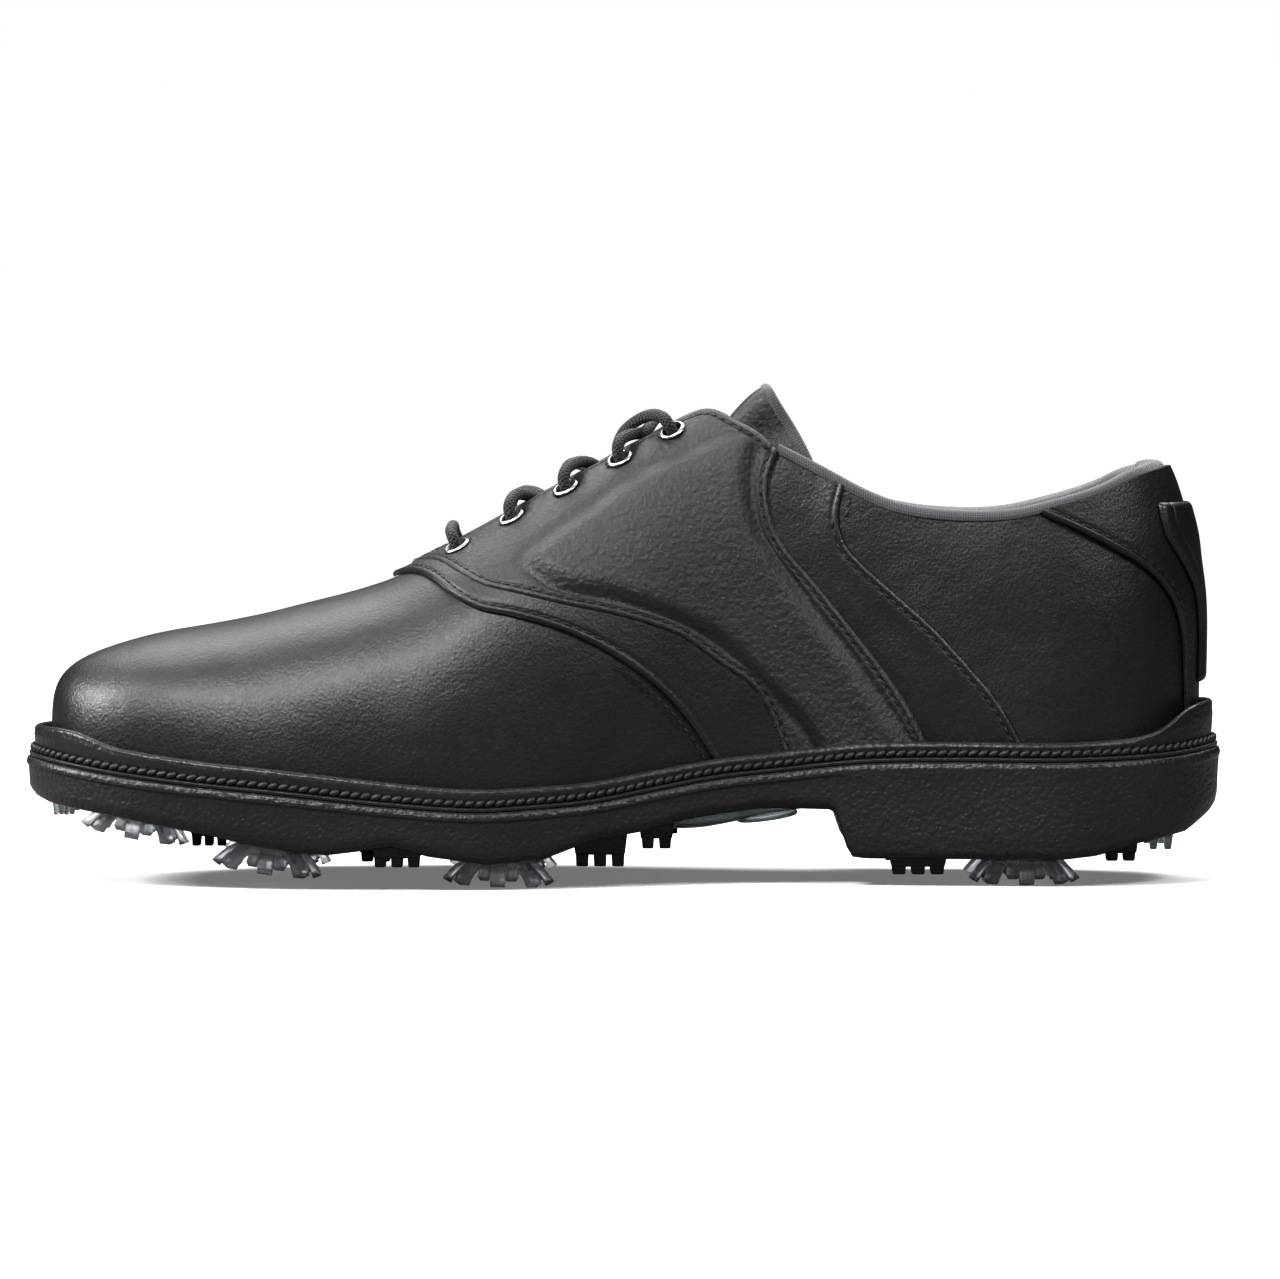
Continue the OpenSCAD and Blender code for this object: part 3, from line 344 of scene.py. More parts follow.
class Wire:
    """A value in a shader graph. Arithmetic on it adds Math nodes."""

    def __init__(self, graph: "Graph", socket: bpy.types.NodeSocket) -> None:
        """Wraps a socket of a graph."""
        self.graph, self.socket = graph, socket

    def math(self, operation: str, *values: object, clamp: bool = False) -> "Wire":
        """A Math node on this value and the others given."""
        node = self.graph.node("ShaderNodeMath", {"operation": operation, "use_clamp": clamp},
                               dict(enumerate([self, *values])))
        return Wire(self.graph, node.outputs[0])

    def __add__(self, o: object) -> "Wire":
        """Sum."""
        return self.math("ADD", o)

    def __sub__(self, o: object) -> "Wire":
        """Difference."""
        return self.math("SUBTRACT", o)

    def __mul__(self, o: object) -> "Wire":
        """Product."""
        return self.math("MULTIPLY", o)

    def __truediv__(self, o: object) -> "Wire":
        """Quotient."""
        return self.math("DIVIDE", o)

    def __pow__(self, o: object) -> "Wire":
        """Power."""
        return self.math("POWER", o)

    def _reflected(self, operation: str, o: object) -> "Wire":
        """A Math node with a number first."""
        node = self.graph.node("ShaderNodeMath", {"operation": operation}, {0: o, 1: self})
        return Wire(self.graph, node.outputs[0])

    def __radd__(self, o: object) -> "Wire":
        """Reflected sum."""
        return self._reflected("ADD", o)

    def __rsub__(self, o: object) -> "Wire":
        """Reflected difference."""
        return self._reflected("SUBTRACT", o)

    def __rmul__(self, o: object) -> "Wire":
        """Reflected product."""
        return self._reflected("MULTIPLY", o)

    def __rtruediv__(self, o: object) -> "Wire":
        """Reflected quotient."""
        return self._reflected("DIVIDE", o)


class Graph:
    """The node graph of one material, round a Principled shader."""

    def __init__(self, name: str) -> None:
        """Starts a material with a bare Principled shader."""
        self.material = bpy.data.materials.new(name)
        self.material.use_nodes = True
        self.tree = self.material.node_tree
        self.tree.nodes.clear()
        self.shader = self.node("ShaderNodeBsdfPrincipled")
        self.node("ShaderNodeOutputMaterial", inputs={"Surface": self.shader.outputs[0]})

    def node(self, kind: str, settings: Optional[dict] = None,
             inputs: Optional[dict] = None) -> bpy.types.Node:
        """Adds a node.

        Args:
            kind: the node's type.
            settings: its properties, set first; "stops" are a ramp's (place, colour) pairs.
            inputs: values, sockets or Wires by socket name or number.
        Returns:
            The node.
        """
        node = self.tree.nodes.new(kind)
        for key, value in (settings or {}).items():
            if key == "stops":
                while len(node.color_ramp.elements) < len(value):
                    node.color_ramp.elements.new(0.5)
                for element, (place, colour) in zip(node.color_ramp.elements, value):
                    element.position, element.color = place, colour
            else:
                setattr(node, key, value)
        for key, value in (inputs or {}).items():
            socket = node.inputs[key]
            if isinstance(value, Wire):
                value = value.socket
            if isinstance(value, bpy.types.NodeSocket):
                self.tree.links.new(value, socket)
            else:
                socket.default_value = value
        return node

    def place(self) -> bpy.types.NodeSocket:
        """Object coordinates."""
        return self.node("ShaderNodeTexCoord").outputs["Object"]

    def noise(self, scale: float, detail: float = 3, vector: object = None, rough: float = 0.5) -> Wire:
        """A Noise texture's value."""
        node = self.node("ShaderNodeTexNoise", {}, {"Vector": vector or self.place(), "Scale": scale,
                                                    "Detail": detail, "Roughness": rough})
        return Wire(self, node.outputs[0])

    def warped(self, scale: float, amount: float) -> bpy.types.NodeSocket:
        """Object coordinates, pushed about by noise."""
        here = self.place()
        push = self.node("ShaderNodeTexNoise", {}, {"Vector": here, "Scale": scale, "Detail": 2})
        centred = self.node("ShaderNodeVectorMath", {"operation": "SUBTRACT"},
                            {0: push.outputs["Color"], 1: (0.5, 0.5, 0.5)})
        scaled = self.node("ShaderNodeVectorMath", {"operation": "SCALE"},
                           {0: centred.outputs[0], "Scale": amount})
        moved = self.node("ShaderNodeVectorMath", {"operation": "ADD"}, {0: here, 1: scaled.outputs[0]})
        return moved.outputs[0]

    def cells(self, scale: float, vector: object, feature: str = "DISTANCE_TO_EDGE") -> Wire:
        """A Voronoi texture's distance."""
        node = self.node("ShaderNodeTexVoronoi", {"feature": feature}, {"Vector": vector, "Scale": scale})
        return Wire(self, node.outputs["Distance"])

    def mix(self, share: object, a: Sequence[float], b: Sequence[float]) -> bpy.types.NodeSocket:
        """A colour between two."""
        node = self.node("ShaderNodeMix", {"data_type": "RGBA"}, {0: share, 6: a, 7: b})
        return node.outputs[2]

    def attribute(self, name: str) -> Wire:
        """A mesh attribute's value."""
        return Wire(self, self.node("ShaderNodeAttribute", {"attribute_name": name}).outputs["Fac"])

    def bump(self, height: Wire, distance: float, strength: float,
             onto: object = None) -> bpy.types.NodeSocket:
        """A Bump node's normal."""
        inputs = {"Height": height, "Distance": distance, "Strength": strength}
        if onto is not None:
            inputs["Normal"] = onto
        return self.node("ShaderNodeBump", {}, inputs).outputs[0]

    def set(self, **values: object) -> None:
        """Sets the shader's sockets; underscores in names stand for spaces."""
        for key, value in values.items():
            socket = self.shader.inputs[key.replace("_", " ")]
            value = value.socket if isinstance(value, Wire) else value
            if isinstance(value, bpy.types.NodeSocket):
                self.tree.links.new(value, socket)
            else:
                socket.default_value = value


def darker(colour: tuple, share: float) -> tuple:
    """A colour at a share of its brightness."""
    return tuple(c * share for c in colour[:3]) + (1.0,)


def grey(v: float, cool: float = 0.0) -> tuple:
    """A grey, a little blue when cool is above 0."""
    return (v * (1 - cool), v, v * (1 + cool), 1.0)


@dataclass(frozen=True)
class Finish:
    """A finish, whose name its material takes."""

    name: str

    def build(self) -> bpy.types.Material:
        """Makes the material."""
        graph = Graph(self.name)
        self.dress(graph)
        return graph.material

    def dress(self, graph: Graph) -> None:
        """Adds this finish's nodes."""
        raise NotImplementedError


@dataclass(frozen=True)
class Leather(Finish):
    """Black leather with a cell grain, fine pores and rubbed edges that carry a painted highlight."""

    shade: float = 0.012
    cool: float = 0.05
    cell: float = 0.9
    grain: float = 0.2
    roughness: float = 0.4

    def dress(self, graph: Graph) -> None:
        """Grain from warped cells, a softer second grain, and a lighter colour where the attribute says:
        rubbing, and a painted highlight.
        """
        warped = graph.warped(420, 0.0011)
        big = 1 - graph.cells(1 / (self.cell * MM), warped, "SMOOTH_F1").math("MULTIPLY", 1.25, clamp=True)
        small = graph.cells(2.3 / (self.cell * MM), warped).math("MULTIPLY", 3.0, clamp=True) ** 0.5
        pores = graph.noise(2600, 3)
        patches = graph.noise(38, 4, rough=0.6)
        wear = graph.attribute("wear")
        height = big * 0.72 + small * 0.2 + pores * 0.16
        soft = graph.bump(graph.noise(90, 3), 0.0011, 0.32)
        normal = graph.bump(height, 0.0005, self.grain, soft)
        dark, light = grey(self.shade, self.cool), grey(self.shade * 1.9, self.cool)
        tone = graph.mix(patches.math("MULTIPLY", 0.8, clamp=True) * (0.55 + big * 0.45), dark, light)
        # Painted highlight along the marked edges, which also stands for rubbing: the colour turns lighter
        # there.
        worn_and_sheened = graph.mix(wear * 0.35, tone, grey(self.shade * 3.4, self.cool))
        rough = self.roughness + (patches - 0.5) * 0.14 + (1 - big) * 0.1 - wear * 0.07
        graph.set(Base_Color=worn_and_sheened, Roughness=rough, Normal=normal, Specular_IOR_Level=0.42, Coat_Weight=0.05,
                  Coat_Roughness=0.3)


@dataclass(frozen=True)
class Rubber(Finish):
    """Moulded rubber with an even stipple."""

    shade: float = 0.012
    stipple: float = 0.8
    depth: float = 0.4
    roughness: float = 0.5
    grained: bool = True

    def dress(self, graph: Graph) -> None:
        """Stipple cells over a slow mottling."""
        warped = graph.warped(300, 0.0014)
        cells = graph.cells(1 / (self.stipple * MM), warped, "SMOOTH_F1")
        fine = graph.noise(1900, 3)
        patches = graph.noise(30, 4)
        height = (1 - cells) * 0.75 + fine * 0.35 if self.grained else fine
        normal = graph.bump(height, 0.0004, self.depth, graph.bump(patches, 0.0012, 0.25))
        wear = graph.attribute("wear")
        tone = graph.mix(patches, grey(self.shade * 0.8), grey(self.shade * 1.7))
        # Painted highlight along the marked edges, which also stands for rubbing: the colour turns lighter
        # there.
        graph.set(Base_Color=graph.mix(wear * 0.3, tone, grey(self.shade * 3.5)),
                  Roughness=self.roughness + (patches - 0.5) * 0.2 + fine * 0.06 - wear * 0.08, Normal=normal,
                  Specular_IOR_Level=0.42)


@dataclass(frozen=True)
class ClearPlastic(Finish):
    """Smoky translucent urethane, a little cloudy."""

    colour: tuple = (0.88, 0.89, 0.92, 1.0)
    smoke: tuple = (0.7, 0.72, 0.76, 1.0)
    roughness: float = 0.16
    transmission: float = 0.75

    def dress(self, graph: Graph) -> None:
        """Cloudy colour, flow marks and a glossy face."""
        cloud = graph.noise(160, 3)
        flow = graph.noise(60, 5, graph.warped(120, 0.004))
        graph.set(Base_Color=graph.mix(cloud, self.smoke, self.colour),
                  Roughness=self.roughness + flow * 0.14, Transmission_Weight=self.transmission, IOR=1.46,
                  Normal=graph.bump(flow, 0.0006, 0.3))


@dataclass(frozen=True)
class Metal(Finish):
    """Plated metal with hairline scratches."""

    colour: tuple = (0.72, 0.73, 0.75, 1.0)
    roughness: float = 0.17

    def dress(self, graph: Graph) -> None:
        """Fine scratches in the roughness and the normal."""
        rub = graph.noise(900, 5, rough=0.7)
        spots = graph.noise(2200, 2)
        graph.set(Base_Color=graph.mix(spots, self.colour, darker(self.colour, 0.84)),
                  Metallic=1.0, Roughness=self.roughness + rub * 0.16, Normal=graph.bump(rub, 0.00008, 0.35))


class Weave(Enum):
    """Textures of cloth that follow a piece's own UV map, whose unit is a millimetre."""

    KNIT = "knit"
    RIB = "rib"
    BRAID = "braid"
    TWIST = "twist"


@dataclass(frozen=True)
class Cloth(Finish):
    """Knitted, ribbed, braided or twisted yarn."""

    weave: Weave = Weave.KNIT
    colour: tuple = (0.05, 0.052, 0.058, 1.0)
    dark: tuple = (0.012, 0.012, 0.014, 1.0)
    pitch: float = 1.0
    depth: float = 0.5
    roughness: float = 0.8
    sheen: float = 0.3

    def dress(self, graph: Graph) -> None:
        """Yarns from waves across the UV map, with loose fibres over them."""
        uv = graph.node("ShaderNodeUVMap", {"uv_map": "UVMap"}).outputs[0]
        split = graph.node("ShaderNodeSeparateXYZ", {}, {0: uv})
        u, v = Wire(graph, split.outputs[0]), Wire(graph, split.outputs[1])
        w = 2 * math.pi / self.pitch
        if self.weave is Weave.RIB:
            yarn = (u * w).math("SINE") * 0.35 + 0.4 + (v * (w * 1.4)).math("SINE") * 0.25
        elif self.weave is Weave.TWIST:
            yarn = ((u + v) * w).math("SINE") * 0.5 + 0.5
        elif self.weave is Weave.BRAID:
            one = ((u + v) * w).math("SINE")
            two = ((u - v) * w).math("SINE")
            yarn = one.math("MAXIMUM", two) * 0.5 + 0.5
        else:
            loop = (u * w + (v * (w * 0.5)).math("SINE") * 1.3).math("SINE")
            yarn = (loop * (v * w).math("SINE")) * 0.5 + 0.5
        fibres = graph.noise(3200, 3)
        patches = graph.noise(55, 3)
        share = (yarn * 0.75 + fibres * 0.35 + (patches - 0.5) * 0.3).math("MULTIPLY", 1.0, clamp=True)
        graph.set(Base_Color=graph.mix(share, self.dark, self.colour),
                  Roughness=self.roughness + (fibres - 0.5) * 0.2,
                  Normal=graph.bump(yarn * 0.8 + fibres * 0.3, 0.0003 * self.pitch, self.depth),
                  Sheen_Weight=self.sheen, Specular_IOR_Level=0.25)


@dataclass(frozen=True)
class Filler(Finish):
    """Foam, board or sheet inside the shoe."""

    colour: tuple = (0.2, 0.21, 0.22, 1.0)
    pore: float = 0.9
    roughness: float = 0.9

    def dress(self, graph: Graph) -> None:
        """Open pores over a mottled colour."""
        pores = graph.cells(1 / (self.pore * MM), graph.warped(500, 0.0008), "F1")
        patches = graph.noise(60, 4)
        graph.set(Base_Color=graph.mix(patches * pores, darker(self.colour, 0.6), self.colour),
                  Roughness=self.roughness - patches * 0.1, Normal=graph.bump(pores, 0.0003, 0.5))


class Palette:
    """Every finish of the shoe, each made once."""

    smooth = Leather("smooth_leather", shade=0.0045, cell=0.75, grain=0.26, roughness=0.36)
    pebbled = Leather("pebbled_leather", shade=0.0075, cool=0.1, cell=1.2, grain=0.62,
                      roughness=0.43)
    trim = Leather("trim_leather", shade=0.0045, cell=0.8, grain=0.3, roughness=0.38)
    sole = Rubber("sole_rubber", shade=0.009, stipple=1.15, depth=0.95, roughness=0.38)
    welt = Rubber("welt_rubber", shade=0.008, stipple=1.3, depth=0.6, roughness=0.38)
    strap = Rubber("strap_rubber", shade=0.005, stipple=0.7, depth=0.15, roughness=0.4)
    clear = ClearPlastic("clear_tpu", colour=(0.66, 0.72, 0.72, 1.0), smoke=(0.42, 0.48, 0.49, 1.0))
    cleat = ClearPlastic("cleat_plastic")
    receptacle = Rubber("receptacle_plastic", shade=0.02, grained=False, depth=0.2)
    eyelet = Metal("eyelet_metal", colour=(0.42, 0.42, 0.43, 1.0), roughness=0.24)
    shank = Metal("shank_steel", colour=(0.5, 0.5, 0.52, 1.0), roughness=0.34)
    lining = Cloth("lining_fabric", colour=(0.05, 0.052, 0.058, 1.0), pitch=1.5)
    binding = Cloth("binding_fabric", weave=Weave.RIB, colour=(0.08, 0.083, 0.088, 1.0),
                    dark=(0.026, 0.027, 0.029, 1.0), pitch=0.8, depth=0.6)
    sock = Cloth("sock_fabric", colour=(0.06, 0.062, 0.068, 1.0), pitch=1.2)
    lace = Cloth("lace_cord", weave=Weave.BRAID, colour=(0.022, 0.022, 0.023, 1.0),
                 dark=(0.003, 0.003, 0.003, 1.0), pitch=1.5, depth=1.0, roughness=0.55, sheen=0.1)
    thread = Rubber("thread", shade=0.006, stipple=0.5, depth=0.3, roughness=0.5)
    aglet = Rubber("aglet_plastic", shade=0.006, grained=False, depth=0.1, roughness=0.2)
    foam = Filler("foam")
    board = Filler("board", colour=(0.42, 0.33, 0.22, 1.0), pore=0.6)
    stiffener = Filler("stiffener", colour=(0.6, 0.57, 0.5, 1.0), pore=1.2, roughness=0.6)

    def __init__(self) -> None:
        """Starts with no material made."""
        self.made: dict = {}

    def material(self, finish: Finish) -> bpy.types.Material:
        """The material of a finish."""
        if finish.name not in self.made:
            self.made[finish.name] = finish.build()
        return self.made[finish.name]

    def put(self, obj: bpy.types.Object, finish: Finish) -> None:
        """Gives an object one finish."""
        obj.data.materials.clear()
        obj.data.materials.append(self.material(finish))


PALETTE = Palette()


# ---- Mesh helpers ----

Placer = Callable[[np.ndarray, np.ndarray], np.ndarray]


@dataclass
class Piece:
    """A mesh on its way to being a piece of the shoe."""

    name: str
    finish: Finish
    body: str = SHOE
    replaces: Sequence[str] = ()

    def publish(self, bm: bmesh.types.BMesh, smooth: bool = True) -> bpy.types.Object:
        """Turns a bmesh in metres into the finished object.

        Args:
            bm: the mesh, which is freed.
            smooth: whether its faces are smooth.
        Returns:
            The object, riding on its body.
        """
        mesh = bpy.data.meshes.new(self.name)
        for f in bm.faces:
            f.smooth = smooth
        bm.to_mesh(mesh)
        bm.free()
        obj = bpy.data.objects.new(self.name, mesh)
        bpy.context.scene.collection.objects.link(obj)
        PALETTE.put(obj, self.finish)
        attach(obj, self.body)
        if self.replaces:
            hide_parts(*self.replaces)
        LOG.info("%s: %d faces", self.name, len(mesh.polygons))
        return obj


def grid(cols: int, rows: int, place: Placer, size: tuple = (1.0, 1.0),
         wear: Optional[Placer] = None) -> bmesh.types.BMesh:
    """A grid of faces laid on a surface.

    Args:
        cols: faces along u.
        rows: faces along v.
        place: gives points in millimetres for shares u and v.
        size: the UV map's size along u and v, in millimetres.
        wear: gives how rubbed the leather is and how strong its painted highlight is, from 0 to 1.
    Returns:
        The mesh in metres.
    """
    bm = bmesh.new()
    bmesh.ops.create_grid(bm, x_segments=cols, y_segments=rows, size=1.0)
    uv = np.array([v.co[:2] for v in bm.verts]) * 0.5 + 0.5
    uv = np.clip(uv, 0, 1)
    points = place(uv[:, 0], uv[:, 1]) * MM
    worn_and_sheened = wear(uv[:, 0], uv[:, 1]) if wear else None
    layer = bm.verts.layers.float.new("wear")
    for i, v in enumerate(bm.verts):
        v.co = points[i]
        v[layer] = float(worn_and_sheened[i]) if worn_and_sheened is not None else 0.0
    maps = bm.loops.layers.uv.new("UVMap")
    bm.verts.index_update()
    for f in bm.faces:
        for loop in f.loops:
            a = uv[loop.vert.index]
            loop[maps].uv = (a[0] * size[0], a[1] * size[1])
    bm.normal_update()
    return bm


def face_out(bm: bmesh.types.BMesh, centre: Callable[[Vector], Vector]) -> None:
    """Turns an open sheet's faces away from a centre.

    Args:
        bm: the sheet.
        centre: gives the inner point that a place looks away from.
    """
    bm.normal_update()
    votes = sum(1 if f.normal.dot(f.calc_center_median() - centre(f.calc_center_median())) > 0 else -1
                for f in bm.faces)
    if votes < 0:
        bmesh.ops.reverse_faces(bm, faces=bm.faces[:])


def thicken(obj: bpy.types.Object, depth: float) -> None:
    """Gives a sheet its thickness, inwards.

    Args:
        obj: the sheet.
        depth: its thickness in millimetres.
    """
    solid = obj.modifiers.new("wall", "SOLIDIFY")
    solid.thickness, solid.offset, solid.use_rim = depth * MM, -1.0, True


def close_shell(bm: bmesh.types.BMesh, inner: np.ndarray) -> None:
    """Gives a sheet a second face and a rim.

    Args:
        bm: the sheet.
        inner: one inner point in millimetres for each vertex.
    """
    verts = bm.verts[:]
    out = bmesh.ops.duplicate(bm, geom=verts + bm.edges[:] + bm.faces[:])
    for v, p in zip(verts, inner * MM):
        out["vert_map"][v].co = p
    bmesh.ops.reverse_faces(bm, faces=[g for g in out["geom"] if isinstance(g, bmesh.types.BMFace)])
    rim = [e for e in bm.edges if e.is_boundary]
    for e in rim:
        e.smooth = False
    bmesh.ops.bridge_loops(bm, edges=rim)
    bmesh.ops.remove_doubles(bm, verts=bm.verts[:], dist=1e-7)
    bmesh.ops.recalc_face_normals(bm, faces=bm.faces[:])


def frame_at(origin: np.ndarray, z_axis: np.ndarray, x_hint: np.ndarray) -> Matrix:
    """A matrix in metres with its z axis and roughly its x axis as given.

    Args:
        origin: the place in millimetres.
        z_axis: direction of z.
        x_hint: direction that x leans to.
    Returns:
        The matrix.
    """
    z = Vector(z_axis).normalized()
    y = z.cross(Vector(x_hint)).normalized()
    x = y.cross(z)
    return Matrix.Translation(Vector(origin) * MM) @ Matrix((x, y, z)).transposed().to_4x4()


def add_part(bm: bmesh.types.BMesh, part: bmesh.types.BMesh, where: Matrix) -> None:
    """Copies a part's mesh into another at a place.

    Args:
        bm: the mesh that grows.
        part: the part, which stays.
        where: its matrix.
    """
    mesh = bpy.data.meshes.new("part")
    part.to_mesh(mesh)
    mesh.transform(where)
    bm.from_mesh(mesh)
    bpy.data.meshes.remove(mesh)


def block(size: Sequence[float], at: Sequence[float], taper: float = 0.0,
          bevel: float = 0.3) -> bmesh.types.BMesh:
    """A bevelled block whose underside is drawn in.

    Args:
        size: its sides in millimetres.
        at: its centre in millimetres.
        taper: share by which the underside is smaller.
        bevel: radius of its edges in millimetres.
    Returns:
        The block in metres.
    """
    bm = bmesh.new()
    bmesh.ops.create_cube(bm, size=1.0)
    bmesh.ops.scale(bm, vec=(1 - taper, 1 - taper, 1), verts=[v for v in bm.verts if v.co.z < 0])
    bmesh.ops.scale(bm, vec=Vector(size) * MM, verts=bm.verts[:])
    bmesh.ops.translate(bm, vec=Vector(at) * MM, verts=bm.verts[:])
    bmesh.ops.bevel(bm, geom=bm.edges[:], offset=bevel * MM, affect="EDGES", segments=2, profile=0.5,
                    material=-1)
    return bm


def tube(points: np.ndarray, radius: float, sides: int) -> bmesh.types.BMesh:
    """A round tube along points, closed at both ends.

    Args:
        points: its centreline in millimetres.
        radius: in millimetres.
        sides: faces round it.
    Returns:
        The tube in metres, with a UV map in millimetres.
    """
    t = unit(np.gradient(points, axis=0))
    side = [unit(np.cross(t[0], [0, 0, 1.0]))]
    for d in t[1:]:
        side.append(unit(side[-1] - side[-1] @ d * d))
    side = np.array(side)
    up = np.cross(t, side)
    far = np.concatenate([[0], np.cumsum(np.linalg.norm(np.diff(points, axis=0), axis=1))])
    n = len(points) - 1

    def place(u: np.ndarray, v: np.ndarray) -> np.ndarray:
        """Points round the centreline."""
        i = np.rint(u * n).astype(int)
        w = v * 2 * math.pi
        return points[i] + (side[i] * np.cos(w)[:, None] + up[i] * np.sin(w)[:, None]) * radius

    bm = grid(n, sides, place, (far[-1], 2 * math.pi * radius))
    bmesh.ops.remove_doubles(bm, verts=bm.verts[:], dist=1e-7)
    bmesh.ops.holes_fill(bm, edges=[e for e in bm.edges if e.is_boundary], sides=0)
    bmesh.ops.recalc_face_normals(bm, faces=bm.faces[:])
    return bm


# ---- Leather panels ----


@dataclass(frozen=True)
class Border:
    """How a panel ends at one edge, in millimetres."""

    drop: float = 0.0
    width: float = 1.2
    puff: float = 0.0
    groove: float = 0.0
    inset: float = 2.3
    lift: float = 0.0

    def offset(self, e: np.ndarray) -> np.ndarray:
        """How far the face moves off its depth at distances e from the edge."""
        r = 1 - np.clip(e / self.width, 0, 1)
        rolled = -self.drop * (1 - np.sqrt(np.maximum(1 - r**2, 0)))
        return (rolled + self.puff * bell(e, self.width + 0.2, 0.7) - self.groove * bell(e, self.inset, 0.42)
                + self.lift * (1 - blend01(e / 8)))


TUCKED = Border()
SEWN = Border(drop=1.15, width=0.9, puff=0.14, groove=0.3, inset=1.9)
RAISED = Border(drop=1.1, width=0.9, puff=0.14, groove=0.3, inset=1.9, lift=0.55)
MOULDED = Border(drop=1.35, width=1.8, groove=0.45, inset=3.6)
ROUNDED = Border(drop=1.35, width=1.8)


@dataclass
class Panel:
    """A panel of the upper between four edges, each rows of (station, angle)."""

    piece: Piece
    left: np.ndarray
    right: np.ndarray
    bottom: np.ndarray
    top: np.ndarray
    side: int = -1
    depth: float = 0.0
    thick: float = 1.2
    borders: Sequence[Border] = (TUCKED, TUCKED, TUCKED, TUCKED)
    cols: int = 60
    rows: int = 80
    pole: bool = False
    shape: Optional[Callable[[np.ndarray, np.ndarray, np.ndarray], np.ndarray]] = None
    ripple: float = 0.25
    holes: Sequence[np.ndarray] = ()
    near: tuple = (4.0, 4.0)
    stitched: list = field(default_factory=list)

    def spread(self, t: np.ndarray, share: float) -> np.ndarray:
        """Draws a grid's lines together near both ends."""
        if share <= 0:
            return t
        return np.interp(t, [0, 0.22, 0.78, 1], [0, share, 1 - share, 1])

    def patch(self, u: np.ndarray, v: np.ndarray) -> np.ndarray:
        """Rows of (station, angle) at shares u and v."""
        c, d = u[:, None], v[:, None]
        corner = (self.left[0] * (1 - c) * (1 - d) + self.right[0] * c * (1 - d)
                  + self.left[-1] * (1 - c) * d + self.right[-1] * c * d)
        return (along(self.left, v) * (1 - c) + along(self.right, v) * c + along(self.bottom, u) * (1 - d)
                + along(self.top, u) * d - corner)

    def relief(self, q: np.ndarray, base: np.ndarray) -> np.ndarray:
        """Ripples and moulded shapes of the face at places q whose points in space are base."""
        wave = (np.sin(base[:, 0] / 11 + base[:, 2] / 7) + np.sin(base[:, 0] / 6.1 - base[:, 2] / 9.7 + 1.3)
                + np.sin(base[:, 1] / 8.3 + base[:, 0] / 17 + 0.5))
        d = self.ripple * wave / 3
        if self.shape:
            d = d + self.shape(q[:, 0], q[:, 1], base)
        return d

    def calm(self, far: Sequence[np.ndarray]) -> np.ndarray:
        """Share of the relief, which fades out towards the sewn edges."""
        return blend01((np.min(far, axis=0) - 2.0) / 1.6)

    def edge_line(self, points: np.ndarray, n: int = 260) -> np.ndarray:
        """An edge on the face, as points in space."""
        q = along(points, np.linspace(0, 1, n))
        return LAST.wrap(q[:, 0], q[:, 1], self.side, 0)

    def lengths(self) -> tuple:
        """Rough width and height of the panel in millimetres."""
        def run(a: np.ndarray) -> float:
            """Length of a line of points."""
            return float(np.linalg.norm(np.diff(a, axis=0), axis=1).sum())
        s = np.linspace(0, 1, 30)
        half = np.full(30, 0.5)
        across, up = self.patch(s, half), self.patch(half, s)
        return (run(LAST.wrap(across[:, 0], across[:, 1], self.side, 0)),
                run(LAST.wrap(up[:, 0], up[:, 1], self.side, 0)))

    def build(self) -> bpy.types.Object:
        """Makes the panel.

        Returns:
            The finished object.
        """
        wide, high = self.lengths()
        share = [min(n / size, 0.3) for n, size in zip(self.near, (wide, high))]
        edges = [self.edge_line(e) for e in (self.left, self.right, self.bottom, self.top)]
        seen: dict = {}

        def measure(u: np.ndarray, v: np.ndarray) -> tuple:
            """Places and edge distances, worked out once."""
            if "q" not in seen:
                uu = u**2.3 if self.pole else self.spread(u, share[0])
                q = self.patch(uu, self.spread(v, share[1]))
                base = LAST.wrap(q[:, 0], q[:, 1], self.side, 0)
                far = []
                for line, border in zip(edges, self.borders):
                    if border == TUCKED:
                        far.append(np.full(len(base), 99.0))
                    else:
                        gaps = base[:, None, :] - line[None, :, :]
                        far.append(np.min(np.linalg.norm(gaps, axis=2), axis=1))
                seen.update(q=q, base=base, far=far)
            return seen["q"], seen["base"], seen["far"]

        def place(u: np.ndarray, v: np.ndarray) -> np.ndarray:
            """Points of the outer face."""
            q, base, far = measure(u, v)
            d = np.full(len(u), self.depth)
            for e, border in zip(far, self.borders):
                d = d + border.offset(e)
            d = d + self.calm(far) * self.relief(q, base)
            for centre in self.holes:
                r = np.linalg.norm(base - centre, axis=1)
                d = np.where(r < 2.6, d - 3.2, d)
            return LAST.wrap(q[:, 0], q[:, 1], self.side, d)

        def worn_and_sheened(u: np.ndarray, v: np.ndarray) -> np.ndarray:
            """Wear along the rolled edges, with a painted highlight on them."""
            far = measure(u, v)[2]
            w = np.zeros(len(u))
            for e, border in zip(far, self.borders):
                w = np.maximum(w, bell(e, border.width * 0.7, 0.7) if border.drop else 0)
            return w

        bm = grid(self.cols, self.rows, place, (wide, high), worn_and_sheened)
        q, base, far = seen["q"], seen["base"], seen["far"]
        lowest = self.depth - self.thick + self.calm(far) * self.relief(q, base)
        close_shell(bm, LAST.wrap(q[:, 0], q[:, 1], self.side, lowest))
        obj = self.piece.publish(bm)
        for border, points in zip(self.borders, (self.left, self.right, self.bottom, self.top)):
            if border.groove and border != MOULDED:
                self.stitched.append((points, border))
        return obj

